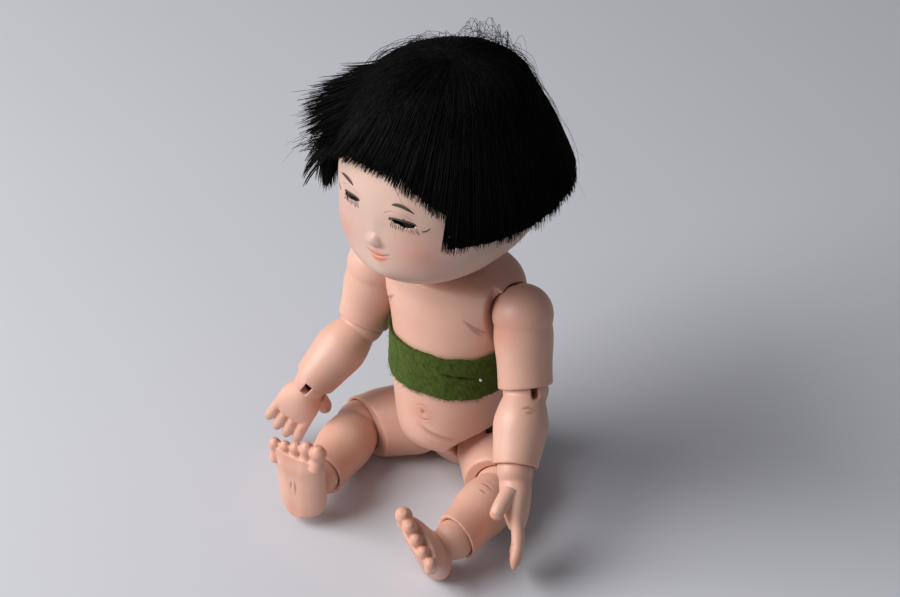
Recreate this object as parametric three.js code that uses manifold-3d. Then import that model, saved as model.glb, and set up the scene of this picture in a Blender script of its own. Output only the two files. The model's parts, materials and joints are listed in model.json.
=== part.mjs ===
// A seated ball-jointed doll, strung on elastic, with a bob wig, glass eyes and a felt band round the chest.
// Millimetres, +Z up. The doll faces -Y and its left side is +X. The origin is on the flat seat.
// Every joint is a ball in a cup: the ball belongs to the outer piece and has a slot for the elastic.

import * as THREE from "three";
import { mergeVertices } from "three/addons/utils/BufferGeometryUtils.js";
import Module from "manifold-3d";

const wasm = await Module();
wasm.setup();

// Fits
const BALL_GAP = 0.4; // running gap between a ball and its cup
const PIECE_GAP = 0.35; // gap between pieces that lie against each other
const CORD_CLEARANCE = 0.35; // room round an elastic or a wire in its channel
const FELT_GAP = 0.35; // felt to body

// Stringing
const CORD_RADIUS = 1.2;
const CORD_END = 1.7; // an elastic stops this far from a ball's centre
const WIRE_RADIUS = 0.7; // hooks and ring
const HOOK_LOOP = 1.9; // middle of the wire to middle of the cross pin
const HOOK_REACH = 7; // ball's centre to cross pin
const PIN_RADIUS = 0.8;
const PIN_LENGTH = 9;
const RING_RADIUS = 3.4; // chest ring, to the middle of its wire
const RING_DROP = 22.5; // neck ball's centre down to the chest ring

// Balls
const NECK_BALL = 9;
const SHOULDER_BALL = 12.5;
const ELBOW_BALL = 9.4;
const WRIST_BALL = 7.4;
const HIP_BALL = 16;
const KNEE_BALL = 11.3;
const ANKLE_BALL = 8.4;

// Limb lengths, from ball's centre to ball's centre
const UPPER_ARM = 31.5;
const FOREARM = 33;
const THIGH = 23.2;
const SHIN = 40;

// Limb thickness, as radii
const DELTOID = 12.1;
const UPPER_ARM_MID = 11.3;
const FOREARM_BULGE = 11.2;
const THIGH_BULGE = 14.6;
const CALF = 11.9;
const SHIN_LOW = 10.3;
const RIM_BACK = 1.5; // a limb's cup ends this far inside the ball's centre
const RIM_WALL = 1.4; // lip round a cup at the end of a limb
const CUP_WALL = 2.6; // cups inside the torso

// Hand
const PALM_LENGTH = 22;
const PALM_HALF_WIDTH = 9.3;
const PALM_HALF_DEPTH = 5.2;
const FINGER_LENGTH = 16.5;
const FINGER_RADIUS = 2.35;
const THUMB_LENGTH = 11;
const THUMB_RADIUS = 2.8;
const THUMB_FORWARD = 3; // root of the thumb in front of the palm's middle

// Foot
const SOLE_DROP = 17.2; // ankle ball's centre to the sole
const HEEL_BACK = 10; // ankle ball's centre to the back of the heel
const FOOT_FRONT = 22; // ankle ball's centre to the root of the toes
const FOOT_HALF_WIDTH = 12.4;
const TOE_LENGTH = 5.5;
const BIG_TOE_MORE = -2.5; // the big toe is this much longer
const TOE_RADIUS = 2.5;

// Torso
const TORSO_WALL = 4;
const SEAT_HALF_WIDTH = 19;
const SEAT_HALF_DEPTH = 11.5;
const SEAT_BACK = 8; // middle of the seat behind the hips' line
const PELVIS_HEIGHT = 18;
const PELVIS_HALF_WIDTH = 34;
const PELVIS_HALF_DEPTH = 27.5;
const WAIST_HEIGHT = 45;
const WAIST_HALF_WIDTH = 27;
const WAIST_HALF_DEPTH = 25.5;
const CHEST_HALF_WIDTH = 27.5;
const CHEST_HALF_DEPTH = 20.5;
const BODY_LEAN = 6; // how far the chest leans forward of the seat
const BODY_FORWARD = 1; // middle of the belly in front of the seat's middle line
const BELLY_SPREAD = 2.5; // the belly is this much wider than the waist
const CHEST_DROP = 24; // shoulder line down to the slimmest part of the chest
const CHEST_TUCK = 2; // the chest is this much slimmer there
const CHEST_SWELL = 1; // and this much deeper
const ARMPIT_DROP = 8; // shoulder line down to the armpits
const ARMPIT_THIN = 0.5; // the chest is this much less deep there
const SHOULDER_RISE = 4; // shoulder line up to the top of the shoulders
const SHOULDER_SPREAD = 5; // the shoulders are this much wider than the chest
const COLLAR_RISE = 3; // the slope from the shoulders up to the collar
const COLLAR_SPREAD = 3; // the body at the foot of that slope, wider than the chest
const COLLAR_THIN = 1; // the collar is this much less deep than wide
const NAPE_FORWARD = 4; // middle of the shoulders in front of the seat
const COLLAR_DROP = 0.5; // neck ball's centre down to the edge of its cup
const COLLAR_LIP = 7;
const SHOULDER_HEIGHT = 95;
const SHOULDER_FORWARD = 7.5;
const SHOULDER_OUTSET = 7.5; // chest side to shoulder ball's centre
const ARM_SPARE = 0.6; // extra room beside the arm
const BLADE_FORWARD = 4; // the shoulder blade reaches this far forward of the shoulder ball's centre
const HIP_HEIGHT = 16.5;
const HIP_FORWARD = 3.5;
const HIP_APART = 9; // between the two hip balls
const HIP_SPARE = 0.6; // extra room beside the thigh
const HIP_WEDGE = 10; // degrees, the room widens away from the hip
const NECK_RISE = 13.5; // shoulder line up to the neck ball's centre
const NECK_HEIGHT = SHOULDER_HEIGHT + NECK_RISE;
const NECK_FORWARD = 3.5;

// Felt band
const BAND_BOTTOM = 55;
const BAND_WIDTH = 19.5;
const FELT = 1.2;
const BAND_PIN_RISE = 9.5; // above the band's lower edge
const BAND_PIN_TURN = 55; // degrees from the front, toward the doll's left
const PIN_HEAD_RADIUS = 1;
const PIN_SHANK_RADIUS = 0.45;

// Head
const HEAD_WALL = 4.5;
const HEAD_HALF_WIDTH = 41.5;
const HEAD_HALF_DEPTH = 41.5;
const HEAD_FORWARD = 4.5; // middle of the skull in front of the neck
const JAW_RISE = 3; // neck ball's centre to the underside of the jaw
const JAW_EDGE = 4; // underside of the jaw up to its edge
const JAW_FULL = 12; // underside of the jaw up to the full cheeks
const JAW_FORWARD = 13; // middle of the jaw's edge in front of the neck
const CHEEK_FORWARD = 13;
const NAPE_TUCK = 3.5; // middle of the full cheeks, in front of the skull's middle
const NECK_FLARE = 3; // the jaw's underside, wider than the neck ball
const CROWN_TIP = 2; // flat on top of the skull
const HEAD_MIDDLE = 37.5; // neck ball's centre to the widest part
const HEAD_TOP = 79;
const CAP_CUT = 58.5; // the crown is open above this height
const EYE_HEIGHT = 41.5;
const EYE_HALF_SPAN = 13;
const EYE_RADIUS = 6.5;
const EYE_SETBACK = 1.4; // eye behind the face
const EYE_SLIT_HALF_WIDTH = 5.6;
const EYE_SLIT_HALF_HEIGHT = 2.3;
const NOSE_HEIGHT = 30.5;
const NOSE_RADIUS = 3.4;

// Wig
const HAIR_CROWN = 13; // hair above the skull
const HAIR_FLARE = 13; // hair outside the skull at the cut ends
const HAIR_SWEEP = 10.5; // the cut ends lie this far toward the doll's right
const HAIR_SPREAD = 3.5; // the cut ends reach this much further to both sides
const CROWN_LEFT = 2; // the crown's whorl, off the skull's middle
const CROWN_BACK = 6.5;
const HAIR_DEPTH = 7.5; // thickness of the cut ends
const HAIR_SPARE = 12; // uncut hair below the cut line
const HAIR_GAP = 0.65; // hair to skull
const FRINGE_HEIGHT = 60.5;
const FRINGE_TO_LEFT = 34;
const FRINGE_TO_RIGHT = 27;
const FLARE_HEIGHT = 61; // the outer layer of hair on the doll's right ends here
const FLARE_DEPTH = 8; // thickness of that layer
const BOB_HEIGHT = 39.5; // cut line over the ears
const BOB_SLOPE = -3; // degrees, lower at the back
const BOB_TILT = 2; // degrees, higher on the doll's right
const FRINGE_DROP_FROM = 11; // the fringe falls from here toward the doll's left
const FRINGE_DROP = 31; // degrees

// Pose, in degrees. Heading turns outward from straight ahead, dip is down from level.
const LEFT_POSE = {
  upperArm: { heading: 39, dip: 69 },
  forearm: { heading: 21, dip: 44 },
  hand: { heading: 35, dip: 53 },
  thigh: { heading: 37.5, dip: 7 },
  shin: { heading: 2.7, dip: -4.2 },
  foot: { heading: -34, dip: 21 },
  palm: new THREE.Vector3(-0.85, -0.5, 0),
  toes: new THREE.Vector3(0.15, -0.53, 0.83),
  elbowFold: new THREE.Vector3(0.82, -0.57, 0),
  wristFold: new THREE.Vector3(-1, 0, 0),
  ankleFold: new THREE.Vector3(0.56, 0, 0.35),
};
const RIGHT_POSE = {
  upperArm: { heading: 61, dip: 78 },
  forearm: { heading: 26, dip: 40 },
  hand: { heading: 82, dip: 62 },
  thigh: { heading: 54.3, dip: 7 },
  shin: { heading: -8, dip: -2 },
  foot: { heading: 2, dip: 0 },
  palm: new THREE.Vector3(-0.43, 0.7, -0.57),
  toes: new THREE.Vector3(0, 0, 1),
  elbowFold: new THREE.Vector3(0, -1, 0),
  wristFold: new THREE.Vector3(0.4, -0.8, 0.4),
  ankleFold: new THREE.Vector3(0.06, -0.15, 0.99),
};
const HEAD_TURN = -10; // to its right
const HEAD_TILT = -2; // toward its left shoulder

// Fold limits in degrees, from the elastic's own line
const SHOULDER_FOLD = { from: 20, to: 83 };
const ELBOW_FOLD = { from: -5, to: 75 };
const WRIST_FOLD = { from: -40, to: 50 };
const HIP_FOLD = { from: 20, to: 95 };
const KNEE_FOLD = { from: 0, to: 85 };
const ANKLE_FOLD = { from: -48, to: 35 };
const NECK_FOLD = { from: -10, to: 10 };
const SLOT_SPARE = 6;
const LEFT_ELBOW_SLOT = 30; // the left elbow's slot runs on past its fold and shows below the rim
const RIGHT_WRIST_SLOT = 45;

// Facets
const LIMB_SIDES = 12;
const LIMB_RINGS = 6;
const BODY_SIDES = 20;
const BODY_RINGS = 11;
const CORD_SIDES = 6;
const FINGER_SIDES = 6;
const BIG = 200; // larger than the doll, for cutting blocks

const SKIN = { color: 0xe0bea6, roughness: 0.55, metalness: 0 };
const FACE = { color: 0xe6cfbf, roughness: 0.5, metalness: 0 };
const HAIR = { color: 0x0d0b0b, roughness: 0.6, metalness: 0 };
const GLASS = { color: 0x15100d, roughness: 0.08, metalness: 0 };
const FELT_GREEN = { color: 0x45601f, roughness: 0.95, metalness: 0 };
const ELASTIC = { color: 0xd8d4c8, roughness: 0.8, metalness: 0 };
const STEEL = { color: 0xb4b6b8, roughness: 0.35, metalness: 1 };
const PIN_WHITE = { color: 0xf2f0ea, roughness: 0.3, metalness: 0 };

// Solids

function solid(geometry) {
  const bare = new THREE.BufferGeometry();
  bare.setAttribute("position", geometry.getAttribute("position").clone());
  bare.setIndex(geometry.index ? geometry.index.clone() : null);
  const merged = mergeVertices(bare, 1e-4);
  const vertProperties = new Float32Array(merged.getAttribute("position").array);
  const triVerts = new Uint32Array(merged.index.array);
  return new wasm.Manifold(new wasm.Mesh({ numProp: 3, vertProperties, triVerts }));
}

function join(first, ...others) {
  return others.reduce((sum, other) => sum.add(other), first);
}

function cut(first, ...others) {
  return others.reduce((rest, other) => rest.subtract(other), first);
}

function mesh(name, body, look) {
  const { vertProperties, triVerts } = body.getMesh();
  const geometry = new THREE.BufferGeometry();
  geometry.setAttribute("position", new THREE.BufferAttribute(new Float32Array(vertProperties), 3));
  geometry.setIndex(new THREE.BufferAttribute(new Uint32Array(triVerts), 1));
  geometry.computeVertexNormals();
  const piece = new THREE.Mesh(geometry, new THREE.MeshStandardMaterial(look));
  piece.name = name;
  return piece;
}

function placed(geometry, matrix) {
  return solid(geometry.clone().applyMatrix4(matrix));
}

// Forms

// A closed skin through elliptical sections { z, a, b, x, y }, listed from the bottom up.
function loft(sections, sides, rings) {
  const sizes = new THREE.CatmullRomCurve3(sections.map((s) => new THREE.Vector3(s.a, s.b, s.z)));
  const middles = new THREE.CatmullRomCurve3(sections.map((s) => new THREE.Vector3(s.x ?? 0, s.y ?? 0, 0)));
  const points = [];
  const faces = [];
  for (let ring = 0; ring <= rings; ring++) {
    const size = sizes.getPoint(ring / rings);
    const middle = middles.getPoint(ring / rings);
    for (let side = 0; side < sides; side++) {
      const angle = (2 * Math.PI * side) / sides;
      points.push(middle.x + size.x * Math.cos(angle), middle.y + size.y * Math.sin(angle), size.z);
    }
  }
  for (let ring = 0; ring < rings; ring++) {
    for (let side = 0; side < sides; side++) {
      const here = ring * sides + side;
      const next = ring * sides + ((side + 1) % sides);
      faces.push(here, next, next + sides, here, next + sides, here + sides);
    }
  }
  const first = sections[0];
  const last = sections[sections.length - 1];
  const bottom = points.length / 3;
  points.push(first.x ?? 0, first.y ?? 0, first.z, last.x ?? 0, last.y ?? 0, last.z);
  for (let side = 0; side < sides; side++) {
    const next = (side + 1) % sides;
    faces.push(bottom, next, side, bottom + 1, rings * sides + side, rings * sides + next);
  }
  const geometry = new THREE.BufferGeometry();
  geometry.setAttribute("position", new THREE.Float32BufferAttribute(points, 3));
  geometry.setIndex(faces);
  return geometry;
}

function sphere(radius, sides = LIMB_SIDES) {
  return new THREE.SphereGeometry(radius, sides, Math.round(sides * 0.6)).rotateX(Math.PI / 2);
}

// A cup for a ball: its flat facets stay outside the running gap.
function cupSphere(ball) {
  const facet = Math.cos(Math.PI / LIMB_SIDES);
  return sphere((ball + BALL_GAP) / (facet * facet));
}

function rod(radius, from, to, sides = CORD_SIDES) {
  const length = from.distanceTo(to);
  const geometry = new THREE.CylinderGeometry(radius, radius, length, sides);
  const turn = new THREE.Quaternion().setFromUnitVectors(new THREE.Vector3(0, 1, 0), to.clone().sub(from).normalize());
  return geometry.applyQuaternion(turn).translate((from.x + to.x) / 2, (from.y + to.y) / 2, (from.z + to.z) / 2);
}

// A finger or toe: a tapered rod with a round tip.
function digit(from, to, root, tip) {
  const length = from.distanceTo(to);
  const sections = [
    { z: -root * 0.6, a: root * 0.7, b: root * 0.7 },
    { z: length * 0.45, a: (root + tip) / 2, b: (root + tip) / 2 },
    { z: length - tip * 0.8, a: tip, b: tip },
    { z: length - tip * 0.2, a: tip * 0.62, b: tip * 0.62 },
    { z: length, a: tip * 0.1, b: tip * 0.1 },
  ];
  const turn = new THREE.Quaternion().setFromUnitVectors(new THREE.Vector3(0, 0, 1), to.clone().sub(from).normalize());
  return loft(sections, FINGER_SIDES, 4).applyQuaternion(turn).translate(from.x, from.y, from.z);
}

function vector(x, y, z) {
  return new THREE.Vector3(x, y, z);
}

const radians = THREE.MathUtils.degToRad;

// Frames

function direction({ heading, dip }, side) {
  const level = Math.cos(radians(dip));
  return vector(side * level * Math.sin(radians(heading)), -level * Math.cos(radians(heading)), -Math.sin(radians(dip)));
}

// A turned frame whose Z is known and whose Y lies as near as it can to a hint.
function frame(zAxis, yHint, origin) {
  const z = zAxis.clone().normalize();
  const y = yHint.clone().addScaledVector(z, -yHint.dot(z)).normalize();
  const x = y.clone().cross(z);
  return new THREE.Matrix4().makeBasis(x, y, z).setPosition(origin);
}

// A joint's frame: origin at the ball, Z up the elastic into the inner piece, Y the way it folds, X the fold axis.
function makeJoint({ centre, cord, foldToward, child, fold, ball, cordLength }) {
  const matrix = frame(cord.clone().negate(), foldToward, centre);
  const local = child.clone().transformDirection(matrix.clone().invert());
  const rest = THREE.MathUtils.radToDeg(Math.atan2(local.y, -local.z));
  return { matrix, rest, ball, cordLength, from: fold.from - rest, to: fold.to - rest };
}

// Cuts that a joint makes, in the joint's own frame

// The fan that the elastic sweeps inside the ball as the joint folds.
function slotFan(joint, more) {
  const half = CORD_RADIUS + CORD_CLEARANCE;
  const reach = joint.ball * 1.3;
  const from = radians(joint.from - SLOT_SPARE);
  const to = radians(joint.to + SLOT_SPARE + more);
  const shape = new THREE.Shape();
  const point = (angle, along, across) => [
    along * Math.sin(angle) + across * Math.cos(angle),
    along * Math.cos(angle) - across * Math.sin(angle),
  ];
  shape.moveTo(...point(from, 0, -half));
  shape.lineTo(...point(from, reach, -half));
  const steps = 6;
  for (let step = 1; step < steps; step++) {
    shape.lineTo(...point(from + ((to - from) * step) / steps, reach, 0));
  }
  shape.lineTo(...point(to, reach, half));
  shape.lineTo(...point(to, 0, half));
  shape.lineTo(...point((from + to) / 2, -half, 0));
  const fan = new THREE.ExtrudeGeometry(shape, { depth: 2 * half, bevelEnabled: false }).translate(0, 0, -half);
  return fan.applyMatrix4(new THREE.Matrix4().makeBasis(vector(0, 1, 0), vector(0, 0, 1), vector(1, 0, 0)));
}

// Everything beyond the edge of a cup, tilted toward the side that the joint folds to.
function rimBlock(tilt, set) {
  return new THREE.BoxGeometry(BIG, BIG, BIG).translate(0, 0, -BIG / 2 - set).rotateX(radians(tilt));
}

function channel(length) {
  return rod(CORD_RADIUS + CORD_CLEARANCE, vector(0, 0, 0), vector(0, 0, length), LIMB_SIDES / 2);
}

function elastic(joint) {
  return rod(CORD_RADIUS, vector(0, 0, CORD_END), vector(0, 0, joint.cordLength - CORD_END));
}

// Skeleton: where each ball sits in the pose

function limbFrames(side, pose) {
  const out = vector(side, 0, 0);
  const shoulder = vector(side * (CHEST_HALF_WIDTH + SHOULDER_OUTSET), -SHOULDER_FORWARD, SHOULDER_HEIGHT);
  const upperArm = direction(pose.upperArm, side);
  const forearm = direction(pose.forearm, side);
  const hand = direction(pose.hand, side);
  const elbow = shoulder.clone().addScaledVector(upperArm, UPPER_ARM);
  const wrist = elbow.clone().addScaledVector(forearm, FOREARM);
  const hip = vector(side * (HIP_BALL + HIP_APART / 2), -HIP_FORWARD, HIP_HEIGHT);
  const ring = vector(side * RING_RADIUS, -NECK_FORWARD, NECK_HEIGHT - RING_DROP);
  const hipCord = hip.clone().sub(ring);
  const thigh = direction(pose.thigh, side);
  const shin = direction(pose.shin, side);
  const foot = direction(pose.foot, side);
  const knee = hip.clone().addScaledVector(thigh, THIGH);
  const ankle = knee.clone().addScaledVector(shin, SHIN);
  return {
    shoulder: makeJoint({ centre: shoulder, cord: out, foldToward: upperArm, child: upperArm, fold: SHOULDER_FOLD,
      ball: SHOULDER_BALL, cordLength: Math.abs(shoulder.x) + CORD_END - PIECE_GAP }),
    elbow: makeJoint({ centre: elbow, cord: upperArm, foldToward: pose.elbowFold, child: forearm, fold: ELBOW_FOLD,
      ball: ELBOW_BALL, cordLength: UPPER_ARM }),
    wrist: makeJoint({ centre: wrist, cord: forearm, foldToward: pose.wristFold, child: hand, fold: WRIST_FOLD,
      ball: WRIST_BALL, cordLength: FOREARM }),
    hip: makeJoint({ centre: hip, cord: hipCord, foldToward: thigh, child: thigh, fold: HIP_FOLD,
      ball: HIP_BALL, cordLength: hipCord.length() + CORD_END - WIRE_RADIUS - PIECE_GAP }),
    knee: makeJoint({ centre: knee, cord: thigh, foldToward: shin, child: shin, fold: KNEE_FOLD,
      ball: KNEE_BALL, cordLength: THIGH }),
    ankle: makeJoint({ centre: ankle, cord: shin, foldToward: pose.ankleFold, child: foot, fold: ANKLE_FOLD,
      ball: ANKLE_BALL, cordLength: SHIN }),
    upperArm: frame(upperArm.clone().negate(), out, shoulder),
    forearm: frame(forearm.clone().negate(), pose.elbowFold, elbow),
    hand: frame(hand.clone().negate(), pose.palm, wrist),
    thigh: frame(thigh.clone().negate(), vector(0, 0, 1), hip),
    shin: frame(shin.clone().negate(), vector(0, 0, 1), knee),
    foot: frame(foot.clone().negate(), pose.toes, ankle),
  };
}

// Limbs: origin at the ball, the limb runs down -Z

function roundLimb(sections) {
  const bottomUp = sections.map(([along, radius]) => ({ z: -along, a: radius, b: radius })).reverse();
  return solid(loft(bottomUp, LIMB_SIDES, LIMB_RINGS));
}

// Gives a limb its slotted ball, its channel and the cup for the next ball.
function jointed(body, own, limbFrame, next, slotMore = 0) {
  const toLimb = limbFrame.clone().invert();
  const ownFrame = toLimb.clone().multiply(own.matrix);
  let shaped = cut(join(body, solid(sphere(own.ball))), placed(slotFan(own, slotMore), ownFrame));
  if (next) {
    const nextFrame = toLimb.clone().multiply(next.matrix);
    shaped = cut(
      shaped,
      placed(rimBlock(next.rest / 2, -RIM_BACK), nextFrame),
      placed(cupSphere(next.ball), nextFrame),
      placed(channel(next.cordLength), nextFrame),
    );
  }
  return shaped;
}

function upperArmBody(frames) {
  const rim = ELBOW_BALL + BALL_GAP + RIM_WALL;
  const body = roundLimb([[2, SHOULDER_BALL * 0.9], [UPPER_ARM * 0.3, DELTOID], [UPPER_ARM * 0.65, UPPER_ARM_MID],
    [UPPER_ARM, rim], [UPPER_ARM + ELBOW_BALL, rim]]);
  return jointed(body, frames.shoulder, frames.upperArm, frames.elbow);
}

function forearmBody(frames, slotMore) {
  const rim = WRIST_BALL + BALL_GAP + RIM_WALL;
  const body = roundLimb([[2, ELBOW_BALL * 0.84], [FOREARM * 0.2, ELBOW_BALL * 1.02], [FOREARM * 0.42, FOREARM_BULGE],
    [FOREARM * 0.72, (FOREARM_BULGE + rim) / 2], [FOREARM, rim], [FOREARM + WRIST_BALL, rim]]);
  return jointed(body, frames.elbow, frames.forearm, frames.wrist, slotMore);
}

function thighBody(frames) {
  const rim = KNEE_BALL + BALL_GAP + RIM_WALL;
  const body = roundLimb([[2, HIP_BALL * 0.92], [THIGH * 0.35, HIP_BALL * 0.95], [THIGH * 0.7, THIGH_BULGE],
    [THIGH, rim], [THIGH + KNEE_BALL, rim]]);
  return jointed(body, frames.hip, frames.thigh, frames.knee);
}

function shinBody(frames) {
  const rim = ANKLE_BALL + BALL_GAP + RIM_WALL;
  const body = roundLimb([[2, KNEE_BALL * 0.85], [SHIN * 0.2, KNEE_BALL], [SHIN * 0.42, CALF],
    [SHIN * 0.72, SHIN_LOW], [SHIN, rim], [SHIN + ANKLE_BALL, rim]]);
  return jointed(body, frames.knee, frames.shin, frames.ankle);
}

// The wire hook in a hand, a foot or the head, and the pin that it hangs on.
function hook() {
  const path = new THREE.CurvePath();
  const start = vector(0, 0, -CORD_END - PIECE_GAP);
  const bend = vector(0, 0, -HOOK_REACH + HOOK_LOOP * 1.4);
  path.add(new THREE.LineCurve3(start, bend));
  const loop = [bend];
  const turns = 6;
  for (let step = 0; step <= turns; step++) {
    const angle = radians(40 - (step * 250) / turns);
    loop.push(vector(0, HOOK_LOOP * Math.cos(angle), -HOOK_REACH + HOOK_LOOP * Math.sin(angle)));
  }
  path.add(new THREE.CatmullRomCurve3(loop));
  const points = path.getPoints(12);
  const curve = new THREE.CatmullRomCurve3(points);
  const wire = new THREE.Shape().absarc(0, 0, WIRE_RADIUS, 0, 2 * Math.PI);
  return solid(new THREE.ExtrudeGeometry(wire, { steps: 8, curveSegments: 3, bevelEnabled: false, extrudePath: curve }));
}

function crossPin() {
  return solid(rod(PIN_RADIUS, vector(-PIN_LENGTH / 2, 0, -HOOK_REACH), vector(PIN_LENGTH / 2, 0, -HOOK_REACH)));
}

function hookRoom(matrix = new THREE.Matrix4()) {
  const radius = HOOK_LOOP + WIRE_RADIUS + CORD_CLEARANCE;
  const bottom = vector(0, 0, -HOOK_REACH - radius);
  const pinEnd = PIN_LENGTH / 2 + PIECE_GAP;
  return join(
    placed(rod(radius, vector(0, 0, 0), bottom, 10), matrix),
    placed(rod(PIN_RADIUS + PIECE_GAP, vector(-pinEnd, 0, -HOOK_REACH), vector(pinEnd, 0, -HOOK_REACH)), matrix),
  );
}

// Palm toward +Y. The thumb is on the side given by thumbSide.
function handBody(frames, thumbSide, slotMore) {
  const palm = loft(
    [
      { z: -PALM_LENGTH - 1.5, a: PALM_HALF_WIDTH * 0.9, b: PALM_HALF_DEPTH * 0.55 },
      { z: -PALM_LENGTH * 0.85, a: PALM_HALF_WIDTH, b: PALM_HALF_DEPTH * 0.85 },
      { z: -PALM_LENGTH * 0.5, a: PALM_HALF_WIDTH * 0.95, b: PALM_HALF_DEPTH * 1.1 },
      { z: -PALM_LENGTH * 0.25, a: WRIST_BALL * 0.92, b: PALM_HALF_DEPTH * 1.15 },
      { z: -1, a: WRIST_BALL * 0.8, b: PALM_HALF_DEPTH * 1.1 },
    ],
    LIMB_SIDES,
    LIMB_RINGS,
  );
  const parts = [solid(palm)];
  const lengths = [0.92, 1, 0.96, 0.8];
  lengths.forEach((share, finger) => {
    const across = thumbSide * PALM_HALF_WIDTH * (0.74 - finger * 0.49);
    const spread = across * 0.16;
    const root = vector(across, 0, -PALM_LENGTH + 1);
    const tip = vector(across + spread, 2.2, -PALM_LENGTH - FINGER_LENGTH * share);
    parts.push(solid(digit(root, tip, FINGER_RADIUS, FINGER_RADIUS * 0.82)));
  });
  const thumbRoot = vector(thumbSide * PALM_HALF_WIDTH * 0.62, THUMB_FORWARD, -PALM_LENGTH * 0.42);
  const thumbTip = thumbRoot.clone().add(vector(thumbSide * THUMB_LENGTH * 0.42, THUMB_LENGTH * 0.5, -THUMB_LENGTH * 0.76));
  parts.push(solid(digit(thumbRoot, thumbTip, THUMB_RADIUS, THUMB_RADIUS * 0.78)));
  return cut(jointed(join(...parts), frames.wrist, frames.hand, null, slotMore), hookRoom());
}

// Toes toward +Y, sole toward -Z. The big toe is on the side given by bigToeSide.
function footBody(frames, bigToeSide) {
  const sections = [
    { y: -HEEL_BACK, wide: 0.45, top: -SOLE_DROP * 0.5 },
    { y: -HEEL_BACK * 0.7, wide: 0.76, top: -SOLE_DROP * 0.4 },
    { y: 0, wide: 0.88, top: -SOLE_DROP * 0.34 },
    { y: FOOT_FRONT * 0.45, wide: 0.92, top: -SOLE_DROP * 0.37 },
    { y: FOOT_FRONT * 0.8, wide: 1, top: -SOLE_DROP * 0.48 },
    { y: FOOT_FRONT, wide: 0.97, top: -SOLE_DROP * 0.62 },
  ].map(({ y, wide, top }) => ({
    z: y,
    a: FOOT_HALF_WIDTH * wide,
    b: (top + SOLE_DROP) / 2 + 0.5,
    y: (top - SOLE_DROP) / 2 - 0.5,
  }));
  const lay = new THREE.Matrix4().makeBasis(vector(-1, 0, 0), vector(0, 0, 1), vector(0, 1, 0));
  const parts = [placed(loft(sections, LIMB_SIDES, LIMB_RINGS), lay)];
  const toes = [1.3, 1.12, 0.98, 0.92, 0.95];
  toes.forEach((share, toe) => {
    const across = bigToeSide * FOOT_HALF_WIDTH * (0.82 - toe * 0.42);
    const radius = TOE_RADIUS * share;
    const low = -SOLE_DROP + radius * 0.95;
    const root = vector(across, FOOT_FRONT - 2 - toe * 0.9, low);
    const more = toe === 0 ? BIG_TOE_MORE : 0;
    const tip = vector(across * 1.04, FOOT_FRONT + TOE_LENGTH * share + more - toe * 1.1, low + 0.6);
    parts.push(solid(digit(root, tip, radius, radius * 0.95)));
  });
  const floor = new THREE.BoxGeometry(BIG, BIG, BIG).translate(0, 0, -SOLE_DROP - BIG / 2);
  const body = cut(join(...parts), solid(floor));
  return cut(jointed(body, frames.ankle, frames.foot, null), hookRoom());
}

// Torso

// Half width and half depth of the body at a height, and how far its middle lies forward.
function torsoSections(grow) {
  const chestLow = SHOULDER_HEIGHT - CHEST_DROP;
  const lean = (height) => -BODY_FORWARD - (BODY_LEAN * height) / SHOULDER_HEIGHT;
  const collar = NECK_BALL + BALL_GAP + COLLAR_LIP;
  const top = NECK_HEIGHT - COLLAR_DROP;
  return [
    { z: 0, a: SEAT_HALF_WIDTH, b: SEAT_HALF_DEPTH, y: SEAT_BACK },
    { z: PELVIS_HEIGHT * 0.25, a: PELVIS_HALF_WIDTH * 0.85, b: PELVIS_HALF_DEPTH * 0.52, y: SEAT_BACK * 0.92 },
    { z: PELVIS_HEIGHT * 0.6, a: PELVIS_HALF_WIDTH * 0.97, b: PELVIS_HALF_DEPTH * 0.64, y: SEAT_BACK * 0.8 },
    { z: PELVIS_HEIGHT, a: PELVIS_HALF_WIDTH, b: PELVIS_HALF_DEPTH * 0.78, y: SEAT_BACK * 0.55 },
    { z: PELVIS_HEIGHT * 0.7 + WAIST_HEIGHT * 0.3, a: (PELVIS_HALF_WIDTH + WAIST_HALF_WIDTH) / 2,
      b: PELVIS_HALF_DEPTH * 0.94 },
    { z: (PELVIS_HEIGHT + WAIST_HEIGHT) / 2, a: WAIST_HALF_WIDTH + BELLY_SPREAD, b: PELVIS_HALF_DEPTH },
    { z: WAIST_HEIGHT, a: WAIST_HALF_WIDTH, b: WAIST_HALF_DEPTH },
    { z: chestLow, a: CHEST_HALF_WIDTH - CHEST_TUCK, b: CHEST_HALF_DEPTH + CHEST_SWELL },
    { z: SHOULDER_HEIGHT - ARMPIT_DROP, a: CHEST_HALF_WIDTH, b: CHEST_HALF_DEPTH - ARMPIT_THIN },
    { z: SHOULDER_HEIGHT + SHOULDER_RISE, a: CHEST_HALF_WIDTH + SHOULDER_SPREAD, b: CHEST_HALF_DEPTH + CHEST_SWELL, y: -NAPE_FORWARD },
    { z: top - COLLAR_RISE, a: CHEST_HALF_WIDTH + COLLAR_SPREAD, b: CHEST_HALF_DEPTH + CHEST_SWELL, y: -NAPE_FORWARD },
    { z: top, a: collar, b: collar - COLLAR_THIN, y: -NECK_FORWARD },
  ].map(({ z, a, b, y }) => ({ z, a: a + grow, b: b + grow, y: y ?? lean(z) }));
}

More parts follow.
